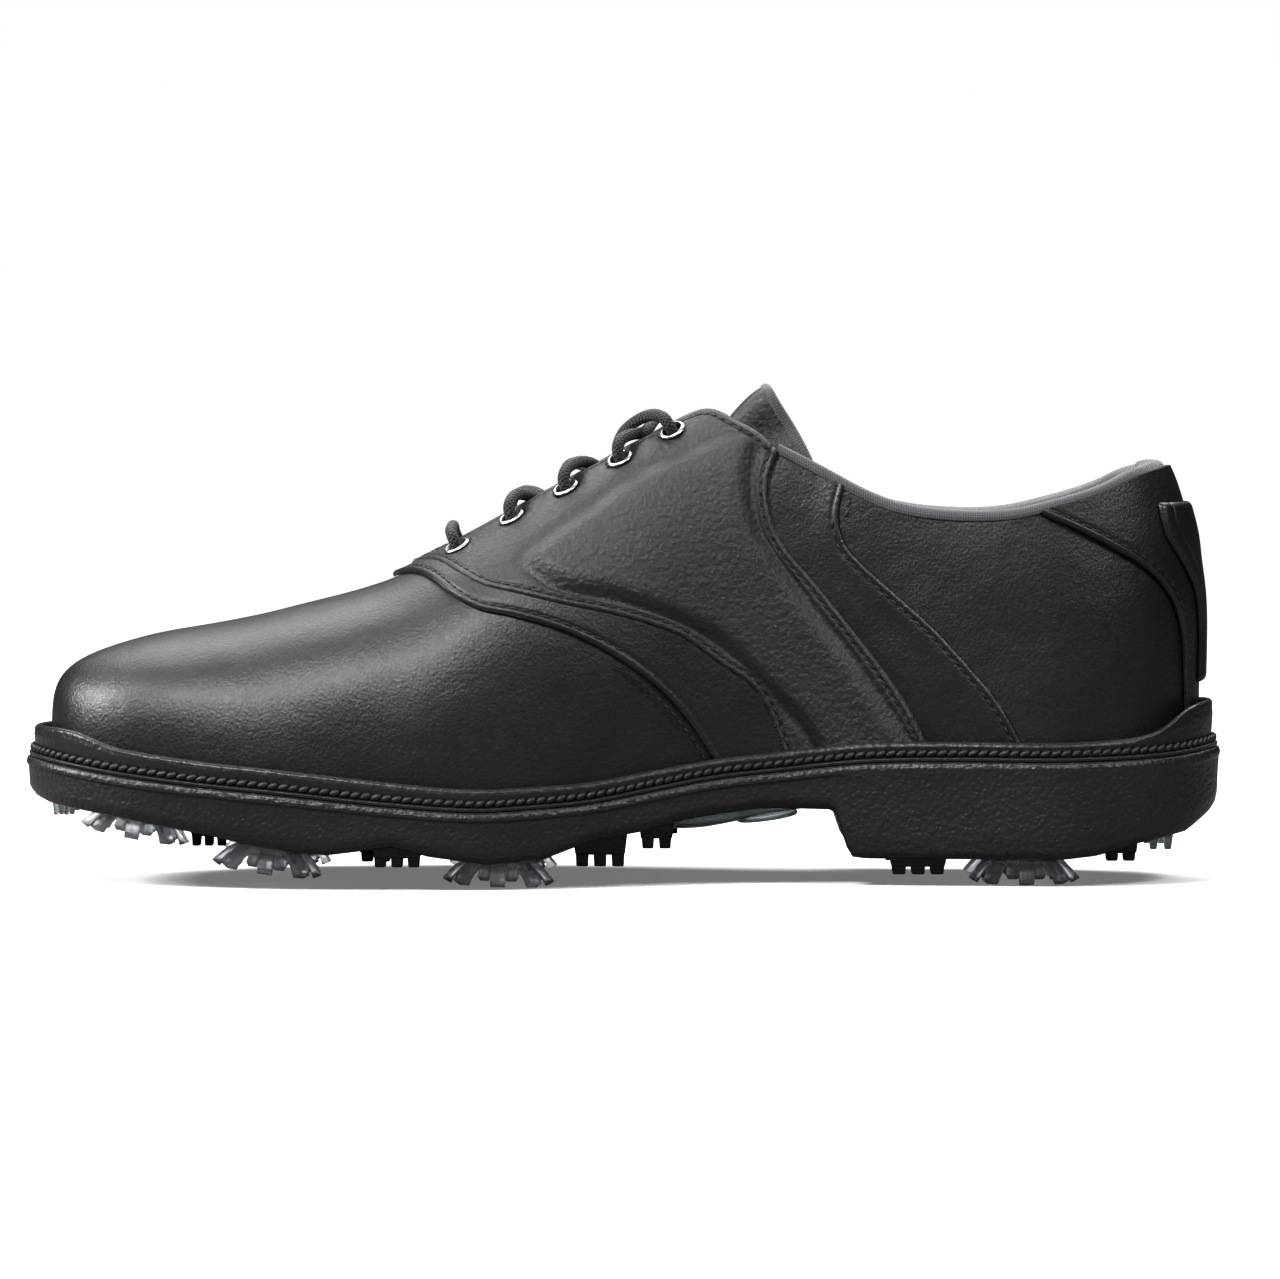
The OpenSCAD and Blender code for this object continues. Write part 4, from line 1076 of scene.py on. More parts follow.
    def stitch_run(self, points: np.ndarray, border: Border, pitch: float = 2.7) -> tuple:
        """Places of the stitches along an edge.

        Args:
            points: the edge.
            border: how it ends, with the stitches' inset.
            pitch: spacing in millimetres.
        Returns:
            Points, directions along the edge and outward directions.
        """
        q = along(points, np.linspace(0, 1, 400))
        line = LAST.wrap(q[:, 0], q[:, 1], self.side, 0)
        far = np.concatenate([[0], np.cumsum(np.linalg.norm(np.diff(line, axis=0), axis=1))])
        at = np.arange(border.inset + pitch, far[-1] - border.inset, pitch)
        q = np.stack([np.interp(at, far, q[:, i]) for i in (0, 1)], -1)
        middle = self.patch(np.array([0.5]), np.array([0.5]))[0]
        here = LAST.wrap(q[:, 0], q[:, 1], self.side, 0)
        dk = LAST.wrap(q[:, 0] + 0.3, q[:, 1], self.side, 0) - here
        da = LAST.wrap(q[:, 0], q[:, 1] + 0.3, self.side, 0) - here
        t = unit(np.gradient(here, axis=0))
        n = unit(LAST.wrap(q[:, 0], q[:, 1], self.side, 1.0) - here)
        b = unit(np.cross(n, t))
        target = LAST.wrap(np.array([middle[0]]), np.array([middle[1]]), self.side, 0)
        b = b * np.sign(np.sum(b * (target - here), axis=1))[:, None]
        step = b * border.inset
        m = np.stack([dk, da], -1)
        move = np.array([np.linalg.lstsq(m[i], step[i], rcond=None)[0] for i in range(len(at))]) * 0.3
        q = q + move
        d = self.depth + border.offset(np.full(len(at), border.inset)) + 0.12
        return LAST.wrap(q[:, 0], q[:, 1], self.side, d), t, n


def stitch_part(length: float = 2.1, width: float = 0.62) -> bmesh.types.BMesh:
    """One stitch: a short plump thread with tapered ends, lying along x."""
    bm = bmesh.new()
    bmesh.ops.create_uvsphere(bm, u_segments=6, v_segments=4, radius=0.5 * MM)
    bmesh.ops.rotate(bm, cent=(0, 0, 0), matrix=Matrix.Rotation(math.pi / 2, 3, "Y"), verts=bm.verts[:])
    bmesh.ops.scale(bm, vec=(length, width, width * 0.8), verts=bm.verts[:])
    return bm


@dataclass
class Upper:
    """The leather panels, their stitching, the lining and the collar."""

    panels: list = field(default_factory=list)

    def saddle_relief(self, k: np.ndarray, a: np.ndarray, base: np.ndarray) -> np.ndarray:
        """Height of the moulded pad on the saddle, with the crease round it."""
        outline = np.concatenate([even(np.array(PAD_LOWER), 60), even(np.array(PAD_BACK), 60),
                                  even(np.array(PAD_UPPER), 60)])
        p = np.stack([k, base[:, 2]], -1)
        nxt = np.roll(outline, -1, axis=0)
        seg = nxt - outline
        length = np.maximum((seg**2).sum(1), 1e-9)
        t = np.clip(((p[:, None, :] - outline[None]) * seg[None]).sum(2) / length[None], 0, 1)
        near = outline[None] + t[..., None] * seg[None]
        away = np.sqrt(((p[:, None, :] - near) ** 2).sum(2)).min(1)
        cross = ((outline[None, :, 1] > p[:, None, 1]) != (nxt[None, :, 1] > p[:, None, 1]))
        run = np.where(np.abs(seg[:, 1]) < 1e-9, 1e-9, seg[:, 1])
        x = outline[None, :, 0] + (p[:, None, 1] - outline[None, :, 1]) / run[None] * seg[None, :, 0]
        inside = (np.sum(cross & (p[:, None, 0] < x), axis=1) % 2) == 1
        e = np.where(inside, away, -away)
        return 1.25 * blend01((e + 0.4) / 3.6) - 0.55 * bell(e, -1.0, 1.1) + 0.12 * bell(e, 4.6, 2.0)

    def toe_shape(self, k: np.ndarray, a: np.ndarray, base: np.ndarray) -> np.ndarray:
        """Gentle dents where the toe box is pulled over the last."""
        side = bell(base[:, 0], -86, 14) * bell(a, 34, 20) + bell(base[:, 0], -86, 14) * bell(a, 146, 20)
        fold = bell(base[:, 0], -62, 10) * (bell(a, 52, 16) + bell(a, 128, 16))
        return -0.9 * side + 0.5 * fold

    def build(self) -> None:
        """Makes every panel of the upper."""
        seam = LAST.seam
        tip = LAST.tip_k
        front, back, vamp = seam(SADDLE_FRONT), seam(SADDLE_BACK), seam(VAMP_BACK)
        pole = np.array([(tip, 0), (tip, 90), (tip, 180)])
        self.panels.append(Panel(
            Piece("vamp_leather", Palette.smooth, replaces=["vamp"]), pole,
            np.concatenate([vamp, over_top(vamp)[::-1]]), np.array([pole[0], vamp[0]]),
            np.array([pole[2], (vamp[0][0], 180)]), -1, 0, LAYERS.leather,
            cols=130, rows=150, pole=True, shape=self.toe_shape, ripple=0.3, near=(0, 0)))
        edge = seam(LINING_FRONT)
        self.panels.append(Panel(
            Piece("vamp_lining_knit", Palette.lining, replaces=["vamp_lining"]), pole,
            np.concatenate([edge, over_top(edge)[::-1]]), np.array([pole[0], edge[0]]),
            np.array([pole[2], (edge[0][0], 180)]), -1, LAYERS.lining_out, LAYERS.lining_out - LAYERS.lining_in,
            cols=60, rows=70, pole=True, ripple=0, near=(0, 0)))
        for side in Side:
            s, label = side.value, side.name.lower()
            holes = [LAST.face(np.array([k]), np.array([EYELET_ANGLE]), s)[0] for k in EYELET_ROWS]
            tf = seam(TRIM_FRONT)
            self.panels.append(Panel(
                Piece(f"trim_{label}_leather", Palette.trim, replaces=[f"trim_{label}"]), tf, front,
                np.array([tf[0], front[0]]), np.array([tf[-1], front[-1]]), s, LAYERS.overlay_out - 0.3,
                LAYERS.overlay, (SEWN, TUCKED, TUCKED, TUCKED), cols=44, rows=110, ripple=0.1))
            top = np.concatenate([[(-53, 90), (-49, 89.5)], FACING_EDGE, [(38.5, back[-1][1])]])
            self.panels.append(Panel(
                Piece(f"saddle_{label}_leather", Palette.pebbled, replaces=[f"saddle_{label}"]), front, back,
                np.array([front[0], back[0]]), top, s, LAYERS.overlay_out, LAYERS.overlay,
                (SEWN, SEWN, TUCKED, SEWN), cols=190, rows=190, shape=self.saddle_relief, ripple=0.12,
                holes=holes))
            qf, qs = seam(QUARTER_FRONT), seam(QUARTER_SEAM)
            self.panels.append(Panel(
                Piece(f"front_quarter_{label}_leather", Palette.smooth, replaces=[f"front_quarter_{label}"]),
                qf, qs, np.array([qf[0], qs[0]]),
                np.concatenate([[qf[-1]], collar(38.5, 50, 2), [qs[-1]]]), s, 0,
                LAYERS.leather, (TUCKED, RAISED, TUCKED, TUCKED), cols=50, rows=90, ripple=0.12))
            rim = collar(55, LAST.back_k, 8)
            self.panels.append(Panel(
                Piece(f"rear_quarter_{label}_leather", Palette.smooth, replaces=[f"rear_quarter_{label}"]),
                qs, np.array([(LAST.back_k, rim[8][1] * j / 4) for j in range(5)]),
                np.array([qs[0], (LAST.back_k, 0)]), np.concatenate([[qs[-1]], rim[1:]]), s, 0, LAYERS.leather,
                cols=80, rows=80, ripple=0.3))
        hs = seam(HEEL_SEAM)
        other = LAST.mirrored(hs)
        rim = np.concatenate([[hs[-1]], collar(106, LAST.back_k, 6)])
        self.panels.append(Panel(
            Piece("heel_panel_leather", Palette.smooth, replaces=["heel_panel"]), hs, other,
            np.array([hs[0], other[0]]), np.concatenate([rim, LAST.mirrored(rim)[-2::-1]]), -1,
            LAYERS.overlay_out, LAYERS.overlay, (SEWN, SEWN, TUCKED, TUCKED), cols=120, rows=70, ripple=0.08))
        st = seam(STRAP_EDGE)
        far = LAST.mirrored(st)
        k = np.linspace(st[-1][0], far[-1][0], 7)
        inner = np.minimum(k, 2 * LAST.back_k - k)
        self.panels.append(Panel(
            Piece("back_strap_rubber", Palette.strap, replaces=["back_strap"]), st, far,
            np.stack([np.linspace(st[0][0], far[0][0], 5), np.full(5, st[0][1])], -1),
            np.stack([k, LAST.wall_angle(inner, np.full(7, 94.5))], -1), -1, LAYERS.strap_out, LAYERS.strap,
            (MOULDED, MOULDED, ROUNDED, ROUNDED), cols=70, rows=70, ripple=0))
        for panel in self.panels:
            panel.build()
        self.sew()
        self.line()
        self.bind()

    def sew(self) -> None:
        """Lays the stitches in the grooves of the panels."""
        part = stitch_part()
        for panel in self.panels:
            if not panel.stitched:
                continue
            bm = bmesh.new()
            for points, border in panel.stitched:
                for p, t, n in zip(*panel.stitch_run(points, border)):
                    add_part(bm, part, frame_at(p, n, t))
            name = panel.piece.name.replace("_leather", "")
            Piece(f"stitches_{name}", Palette.thread).publish(bm)
        part.free()

    def line(self) -> None:
        """The knitted lining behind the quarters, with the padded roll under the collar."""
        edge = LAST.seam(LINING_FRONT)
        left = np.concatenate([[q + (0.6, 0) for q in edge if q[1] < 72], [(-44, 83)]])
        half = np.concatenate([FACING_EDGE, collar(38.5, LAST.back_k, 14)])
        top = np.concatenate([half, LAST.mirrored(half)[-2::-1]])
        panel = Panel(Piece("quarter_lining_knit", Palette.lining, replaces=["quarter_lining"]), left,
                      LAST.mirrored(left), np.array([left[0], LAST.mirrored(left)[0]]), top, -1,
                      LAYERS.lining_out, 1.25, cols=220, rows=60, ripple=0.0, near=(0, 0),
                      shape=lambda k, a, base: -LAYERS.pad_swell * pad_share(k, a))
        panel.build()

    def bind(self) -> None:
        """The ribbed tape over the collar's edge."""
        half = collar(38.5, LAST.back_k, 40)
        line = np.concatenate([half, LAST.mirrored(half)[-2::-1]])

        def place(u: np.ndarray, v: np.ndarray) -> np.ndarray:
            """Points round the tape, from outside over the top to inside."""
            q = along(line, u)
            k = np.minimum(q[:, 0], 2 * LAST.back_k - q[:, 0])
            w = v * math.pi
            deep = LAYERS.lining_in - 0.6 - LAYERS.pad_swell * pad_share(q[:, 0], q[:, 1])
            mid, reach = (0.35 + deep) / 2, (0.35 - deep) / 2
            c = np.cos(w)
            rise = (2.75 * np.sin(w) ** 0.55 - 1.1 - 1.4 * blend01((v - 0.6) / 0.4)
                    - 0.5 * blend01((0.25 - v) / 0.25))
            z = LAST.face(k, q[:, 1], 1)[:, 2] + rise + 1.0
            a = LAST.wall_angle(k, z)
            return LAST.wrap(q[:, 0], a, -1, mid + reach * np.sign(c) * np.abs(c) ** 0.8)

        length = 330.0
        bm = grid(360, 18, place, (length, 12.0))
        face_out(bm, lambda p: Vector((p.x, p.y, p.z - 0.004)))
        thicken(Piece("collar_tape", Palette.binding, replaces=["collar_binding"]).publish(bm), 0.5)


# ---- Tongue, eyelets and lace ----


@dataclass
class Tongue:
    """The tongue with its padded lining and the tape round its edge."""

    rise: float = 6.0
    edge: Table = ((-50, 64), (-20, 60), (5, 54), (25, 49), (46, 45.5))
    tip: Table = ((46, 45.5), (41, 58), (36, 73), (34, 90))

    def lift(self, k: np.ndarray, a: np.ndarray) -> np.ndarray:
        """How far the middle comes up behind the lacing."""
        return self.rise * blend01((k - 14) / 20) * blend01(1 - (np.abs(90 - a) - 10) / 24)

    def patch(self, u: np.ndarray, v: np.ndarray) -> np.ndarray:
        """Rows of (station, angle) at shares along and across the tongue."""
        low, tip = np.array(self.edge, float), np.array(self.tip, float)
        foot = np.array([(low[0][0], a) for a in (64, 90, 116)], float)
        panel = Panel(Piece("tongue", Palette.pebbled), foot,
                      np.concatenate([tip, over_top(tip[:3])[::-1]]), low, over_top(low))
        return panel.patch(u, v)

    def shares(self, n: int, place: Placer) -> np.ndarray:
        """Points of a placer in the order of a square grid of n by n faces."""
        twin = grid(n, n, place)
        out = np.array([v.co for v in twin.verts]) / MM
        twin.free()
        return out

    def sheet(self, name: str, finish: Finish, node: str, depth: float, thick: float,
              crown: float) -> bpy.types.Object:
        """One layer of the tongue.

        Args:
            name: the piece's name.
            finish: its finish.
            node: the CAD node it stands for.
            depth: depth of its outer face.
            thick: its thickness.
            crown: how far its middle swells.
        Returns:
            The object.
        """
        def place(u: np.ndarray, v: np.ndarray) -> np.ndarray:
            """Points of the layer's outer face."""
            q = self.patch(u, v)
            e = np.minimum(np.minimum(v, 1 - v) * 70, (1 - u) * 95)
            roll = -0.9 * (1 - np.sqrt(np.maximum(1 - (1 - np.clip(e / 1.6, 0, 1)) ** 2, 0)))
            d = depth + self.lift(q[:, 0], q[:, 1]) + roll + crown * blend01(e / 14)
            return LAST.wrap(q[:, 0], q[:, 1], -1, d)

        def worn_and_sheened(u: np.ndarray, v: np.ndarray) -> np.ndarray:
            """Wear along the edge, with a painted highlight on it."""
            e = np.minimum(np.minimum(v, 1 - v) * 70, (1 - u) * 95)
            return bell(e, 1, 1)

        def under(u: np.ndarray, v: np.ndarray) -> np.ndarray:
            """Points of the layer's inner face."""
            q = self.patch(u, v)
            return LAST.wrap(q[:, 0], q[:, 1], -1, depth - thick + self.lift(q[:, 0], q[:, 1]))

        bm = grid(90, 90, place, (95.0, 70.0), worn_and_sheened)
        close_shell(bm, self.shares(90, under))
        return Piece(name, finish, TONGUE, [node]).publish(bm)

    def tape(self) -> None:
        """The grey tape round the tongue's edge."""
        n = 90
        u = np.concatenate([np.linspace(0.25, 1, n), np.ones(n), np.linspace(1, 0.25, n)])
        v = np.concatenate([np.zeros(n), np.linspace(0, 1, n), np.ones(n)])
        q = self.patch(u, v)
        d = LAYERS.tongue_out - 0.75 + self.lift(q[:, 0], q[:, 1])
        line = LAST.wrap(q[:, 0], q[:, 1], -1, d)
        keep = np.concatenate([[True], np.linalg.norm(np.diff(line, axis=0), axis=1) > 0.05])
        line = line[keep]
        for _ in range(6):
            line[1:-1] = (line[:-2] + 2 * line[1:-1] + line[2:]) / 4
        bm = tube(line, 1.35, 10)
        Piece("tongue_tape", Palette.binding, TONGUE).publish(bm)

    def build(self) -> None:
        """Makes the tongue's layers."""
        self.sheet("tongue_leather", Palette.pebbled, "tongue", LAYERS.tongue_out, LAYERS.tongue, 0.3)
        pad = self.sheet("tongue_pad", Palette.lining, "tongue_lining", LAYERS.tongue_pad_out + 0.2,
                         LAYERS.tongue_pad + 0.2, -0.5)
        self.tape()


@dataclass
class Lacing:
    """Eyelets, the lace and its tips."""

    diameter: float = 3.0
    bore: float = 4.8
    flange: float = 7.0
    tip_length: float = 22.0
    crossings: Table = ((8, 1.7), (17, 1.7), (26, 1.7), (34, 1.7))
    # One half of the lace: (station, angle, side, depth)
    route: Table = (
        (-41, 87, 1, 4.6), (-41, 81, 1, 4.8), (-41, 76.6, 1, 5), (-41, 73.8, 1, 3.2), (-41, 73.5, 1, -2),
        (-40.8, 73.8, 1, -5.2), (-39.6, 76.4, 1, -6.6), (-37, 84, 1, -6.4), (-34, 90, 1, -5.2),
        (-31, 84, -1, -6.4), (-28.6, 76.4, -1, -6.6), (-27.7, 73.8, -1, -5.2), (-27.5, 73.5, -1, -2),
        (-27.3, 73.8, -1, 3.2), (-26, 76.2, -1, 5), (-24.4, 80.5, -1, 4.4), (-22.6, 85.5, -1, 2.3),
        (-20.7, 90, 1, -1.2), (-18.9, 85.4, 1, -5.2), (-17.2, 79.5, 1, -6.6), (-14.7, 74.2, 1, -5.8),
        (-14, 73.5, 1, -2), (-13.8, 73.8, 1, 3.2), (-12.5, 76.2, 1, 5), (-10.9, 80.5, 1, 4.4),
        (-9.1, 85.5, 1, 2.3), (-7.2, 90, 1, -1.2), (-5.4, 85.4, -1, -5.2), (-3.7, 79.5, -1, -6.6),
        (-1.2, 74.2, -1, -5.8), (-0.5, 73.5, -1, -2), (-0.3, 73.8, -1, 3.2), (1, 76.2, -1, 5),
        (3, 81, -1, 4.6), (6, 90, -1, 3.4), (9.4, 82, 1, 4.6), (11.6, 76.6, 1, 5), (12.4, 73.8, 1, 3.2),
        (12.5, 73.5, 1, -2), (12.8, 73, 1, -5.2), (14.2, 70, 1, -6.4), (18, 62, 1, -6.4), (22, 52, 1, -6.4),
        (25, 40, 1, -6.5), (27, 26, 1, -6.6), (31, 13, 1, -6.8), (40, 6, 1, -7), (56, 5, 1, -7),
        (70, 5, 1, -7.2), (82, 5, 1, -7.4))

    def half(self, first: int, over: int) -> np.ndarray:
        """One half's points in space.

        Args:
            first: the side that the half starts on.
            over: 1 for the strand that runs over at the crossings, -1 for the other.
        Returns:
            Points in millimetres.
        """
        out = []
        for i, (k, a, side, d) in enumerate(self.route):
            lift = sum(c * (1 if i == at else 0.45) for at, c in self.crossings if abs(i - at) <= 1)
            out.append(LAST.wrap(np.array([k]), np.array([a]), side * first, d + lift * over)[0])
        return np.array(out)

    def eyelets(self) -> None:
        """Ten rolled metal rings with their barrels."""
        r0, r1 = self.bore / 2, self.flange / 2
        profile = ((r0, -4.4), (r0, 1.9), (r0 + 0.14, 2.22), (r0 + 0.42, 2.4), (r1 - 0.42, 2.3),
                   (r1 - 0.1, 2.05), (r1, 1.8), (r1 - 0.25, 1.7), (r0 + 0.3, 1.75), (r0 + 0.3, -4.4))
        ring = bmesh.new()
        verts = [ring.verts.new((r * MM, 0, z * MM)) for r, z in profile]
        edges = [ring.edges.new((verts[i], verts[(i + 1) % len(verts)])) for i in range(len(verts))]
        bmesh.ops.spin(ring, geom=verts + edges, cent=(0, 0, 0), axis=(0, 0, 1), angle=2 * math.pi, steps=32,
                       use_merge=True)
        bmesh.ops.remove_doubles(ring, verts=ring.verts[:], dist=1e-7)
        bmesh.ops.recalc_face_normals(ring, faces=ring.faces[:])
        bm = bmesh.new()
        for side in Side:
            for k in EYELET_ROWS:
                kk, aa = np.array([float(k)]), np.array([EYELET_ANGLE])
                here, out = LAST.face(kk, aa, side.value)[0], LAST.normal(kk, aa, side.value)[0]
                add_part(bm, ring, frame_at(here, out, np.array([1.0, 0, 0])))
        ring.free()
        Piece("eyelet_rings", Palette.eyelet, replaces=["eyelets"]).publish(bm)

    def tip(self, name: str, node: str, end: np.ndarray, before: np.ndarray) -> bpy.types.Object:
        """A crimped tip at one end of the lace.

        Args:
            name: the piece's name.
            node: the CAD node it stands for.
            end: the lace's last point.
            before: the point before it.
        Returns:
            The object.
        """
        d = unit(end - before)
        bm = bmesh.new()
        bmesh.ops.create_cone(bm, cap_ends=True, segments=20, radius1=1.6 * MM, radius2=1.6 * MM,
                              depth=self.tip_length * MM)
        bmesh.ops.translate(bm, vec=(0, 0, (self.tip_length / 2 + 0.05) * MM), verts=bm.verts[:])
        rims = [e for e in bm.edges if abs(e.verts[0].co.z - e.verts[1].co.z) < 1e-7]
        bmesh.ops.bevel(bm, geom=rims, offset=0.5 * MM, affect="EDGES", segments=3, profile=0.5, material=-1)
        bm.transform(frame_at(end, d, np.array([0, 0, 1.0])))
        return Piece(name, Palette.aglet, replaces=[node]).publish(bm)

    def build(self) -> None:
        """Makes the eyelets, the tips and the lace."""
        self.eyelets()
        medial, lateral = self.half(-1, 1), self.half(1, -1)
        tips = [self.tip("lace_end_medial", "lace_tip_medial", medial[-1], medial[-2]),
                self.tip("lace_end_lateral", "lace_tip_lateral", lateral[-1], lateral[-2])]
        points = np.concatenate([medial[::-1], lateral])
        path = along(points, np.linspace(0, 1, (len(points) - 1) * 7 + 1))
        lace = Piece("lace_round", Palette.lace, replaces=["lace"]).publish(tube(path, self.diameter / 2, 14))
        tuple(path[0] * MM)
        [tuple(p * MM) for p in path]


# ---- The sole ----


@dataclass
class Sole:
    """Outsole, welt and its stitching, insert, grips and footbed."""

    around: int = 420
    lip_in: float = 3.85
    lip_t: float = 1.6
    flange_in: float = 9.9
    socket: float = 20.0
    seats: Table = ((-122, -7, 17.6, 11), (-88, -27, 10.1, 8), (-88, 25, 10.1, 8), (-31, -31, 7.3, 2),
                    (-31, 31, 7.3, 2), (100, -16.5, 6.8, 0), (100, 13.5, 6.8, 0))
    lugs: Table = ((-56, -41, 13, 7, 5.5), (-56, 41, 13, 7, 5.5), (-60, 0, 12, 9, 5.5), (-6, -30, 14, 7, 5),
                   (-6, 34, 14, 7, 5), (8, -24, 9, 6, 9), (10, 36, 9, 6, 9), (-8, 2, 10, 12, 6.5),
                   (-105, 3, 10, 8, 8), (-62, -20, 9, 6, 5.5), (-62, 20, 9, 6, 5.5), (73, -27, 15, 7, 2.8),
                   (73, 26, 15, 7, 2.8), (73, 0, 10, 12, 3.4), (124, -17, 9, 6, 5.5), (124, 12, 9, 6, 5.5))
    toe_posts: Table = ((-139.5, -16, 4.4, 3, 17), (-141.5, -8, 4.4, 3, 16.4), (-139.5, 0, 4.4, 3, 17))
    heel_posts: Table = ((134, -18, 6, 5, 8.4), (135, -6, 6, 5, 8.4), (134, 6, 6, 5, 8.4))

    def station(self, u: np.ndarray) -> tuple:
        """Station and side of a share round the sole, from the toe along the inner side and back."""
        w = u * 2
        side = np.where(w <= 1, -1.0, 1.0)
        t = np.where(w <= 1, w, 2 - w)
        run = LAST.back_k - LAST.tip_k
        return LAST.tip_k + t * run, side

    def ring(self, u: np.ndarray, inset: np.ndarray) -> np.ndarray:
        """Plan points round the sole at an inset, with z left 0."""
        k, side = self.station(u)
        x = LAST.plan_x(k, inset)
        return np.stack([x, curve(LAST.plan_mid, x) + side * LAST.plan_w(k, inset), np.zeros(len(u))], -1)

    def hoop(self, levels: Sequence[tuple], u: np.ndarray, v: np.ndarray) -> np.ndarray:
        """Points of a hoop whose section is a smooth line through levels.

        Args:
            levels: (inset, height function) pairs.
            u: shares round the sole.
            v: shares along the section.
        Returns:
            Points in millimetres.
        """
        insets = np.array([lv[0] for lv in levels], float)
        at = np.linspace(0, 1, len(levels))
        inset = np.interp(v, at, insets)
        p = self.ring(u, inset)
        heights = np.stack([lv[1](p[:, 0]) for lv in levels], -1)
        i = np.minimum(np.floor(v * (len(levels) - 1)).astype(int), len(levels) - 2)
        f = v * (len(levels) - 1) - i
        rows = np.arange(len(u))
        p[:, 2] = heights[rows, i] * (1 - f) + heights[rows, i + 1] * f
        return p

    def outsole(self) -> None:
        """The cup sole with its sculpted wall, closed above and below."""
        stitch, bottom = LAST.stitch_z, LAST.bottom_z
        levels = [(8, lambda x: bottom(x) + 1.2), (5.4, lambda x: bottom(x) + 0.5),
                  (3.4, lambda x: bottom(x)), (2.2, lambda x: bottom(x) + 0.35),
                  (1.2, lambda x: bottom(x) + 1.4), (0.75, lambda x: bottom(x) * 0.8 + stitch(x) * 0.2),
                  (0.55, lambda x: (bottom(x) + stitch(x)) / 2),
                  (0.3, lambda x: bottom(x) * 0.22 + stitch(x) * 0.78 - 1),
                  (0.05, lambda x: stitch(x) - 4.2), (0.0, lambda x: stitch(x) - 3.4),
                  (0.3, lambda x: stitch(x) - 2.5), (0.9, lambda x: stitch(x) - 2.0),
                  (3.5, lambda x: stitch(x) - 2.0), (10, lambda x: stitch(x) - 2.0)]
        bm = grid(self.around, 52, lambda u, v: self.hoop(levels, u, v), (720, 40))
        for inset, height in ((8, lambda x: bottom(x) + 1.2), (10, lambda x: stitch(x) - 2.0)):
            half = self.around // 2

            def plank(u: np.ndarray, v: np.ndarray, inset: float = inset,
                      height: Callable = height) -> np.ndarray:
                """Points across the sole."""
                k = self.station(u / 2)[0]
                x = LAST.plan_x(k, inset)
                y = curve(LAST.plan_mid, x) + (v * 2 - 1) * LAST.plan_w(k, inset)
                return np.stack([x, y, height(x)], -1)
            part = grid(half, 24, plank, (300, 100))
            add_part(bm, part, Matrix.Identity(4))
            part.free()
        bmesh.ops.remove_doubles(bm, verts=bm.verts[:], dist=2e-6)
        bmesh.ops.recalc_face_normals(bm, faces=bm.faces[:])
        self.underside(bm)
        Piece("outsole_rubber", Palette.sole, replaces=["outsole"]).publish(bm)

    def underside(self, bm: bmesh.types.BMesh) -> None:
        """Adds the bosses round the receptacles and the ribbed lugs.

        Args:
            bm: the outsole, which grows.
        """
        r0, r1 = self.socket / 2 + 0.1, self.socket / 2 + 2.5
        boss = bmesh.new()
        profile = ((r0, 3.0), (r0, 0.25), (r0 + 0.3, 0), (r1 - 0.7, 0), (r1, 0.7), (r1 + 1.0, 3.0))
        verts = [boss.verts.new((r * MM, 0, z * MM)) for r, z in profile]
        edges = [boss.edges.new((verts[i], verts[(i + 1) % len(verts)])) for i in range(len(verts))]
        bmesh.ops.spin(boss, geom=verts + edges, cent=(0, 0, 0), axis=(0, 0, 1), angle=2 * math.pi, steps=40,
                       use_merge=True)
        bmesh.ops.remove_doubles(boss, verts=boss.verts[:], dist=1e-7)
        bmesh.ops.recalc_face_normals(boss, faces=boss.faces[:])
        for seat in self.seats:
            add_part(bm, boss, seat_matrix(seat))
        boss.free()
        for x, y, long, wide, z in self.lugs:
            top = float(LAST.bottom_z(np.array([x]))[0]) + 2.4
            base_h = (top - z) * 0.7
            part = block((long, wide, base_h), (x, y, top - base_h / 2), 0.12, 0.5)
            add_part(bm, part, Matrix.Identity(4))
            part.free()
            ribs = 3 if long > 9.5 else 2
            for i in range(ribs):
                w = long / ribs * 0.86
                cx = x + ((i + 0.5) / ribs - 0.5) * long * 0.95
                part = block((w, wide * 0.92, top - z), (cx, y, (top + z) / 2), 0.28, 0.35)
                add_part(bm, part, Matrix.Identity(4))
                part.free()

    def welt(self) -> None:
        """The strip round the top of the sole with its rolled lip."""
        stitch, lip = LAST.stitch_z, LAST.lip_z
        out, inn = self.lip_in - self.lip_t, self.lip_in
        levels = [(self.flange_in, lambda x: stitch(x) - 1.8), (out - 1.5, lambda x: stitch(x) - 1.8),
                  (out - 1.6, lambda x: stitch(x) - 1.1), (out - 1.2, lambda x: stitch(x) - 0.85),
                  (out - 0.2, lambda x: stitch(x) - 0.7), (out + 0.1, lambda x: stitch(x)),
                  (out - 0.15, lambda x: stitch(x) * 0.75 + lip(x) * 0.25),
                  (out - 0.35, lambda x: stitch(x) * 0.4 + lip(x) * 0.6), (out - 0.2, lambda x: lip(x) - 0.7),
                  (out + 0.3, lambda x: lip(x) - 0.12), (out + 0.9, lambda x: lip(x) + 0.05),
                  (inn, lambda x: lip(x) - 0.25), (inn + 0.4, lambda x: lip(x) - 0.9),
                  (inn + 0.5, lambda x: stitch(x)), (self.flange_in, lambda x: stitch(x) - 0.35),
                  (self.flange_in, lambda x: stitch(x) - 1.8)]

        def wear(u: np.ndarray, v: np.ndarray) -> np.ndarray:
            """Wear along the lip, with a painted highlight on it."""
            return bell(v, 0.6, 0.05)
        bm = grid(self.around, 60, lambda u, v: self.hoop(levels, u, v), (720, 24), wear)
        bmesh.ops.remove_doubles(bm, verts=bm.verts[:], dist=2e-6)
        bmesh.ops.recalc_face_normals(bm, faces=bm.faces[:])
        Piece("welt_strip", Palette.welt, replaces=["welt"]).publish(bm)

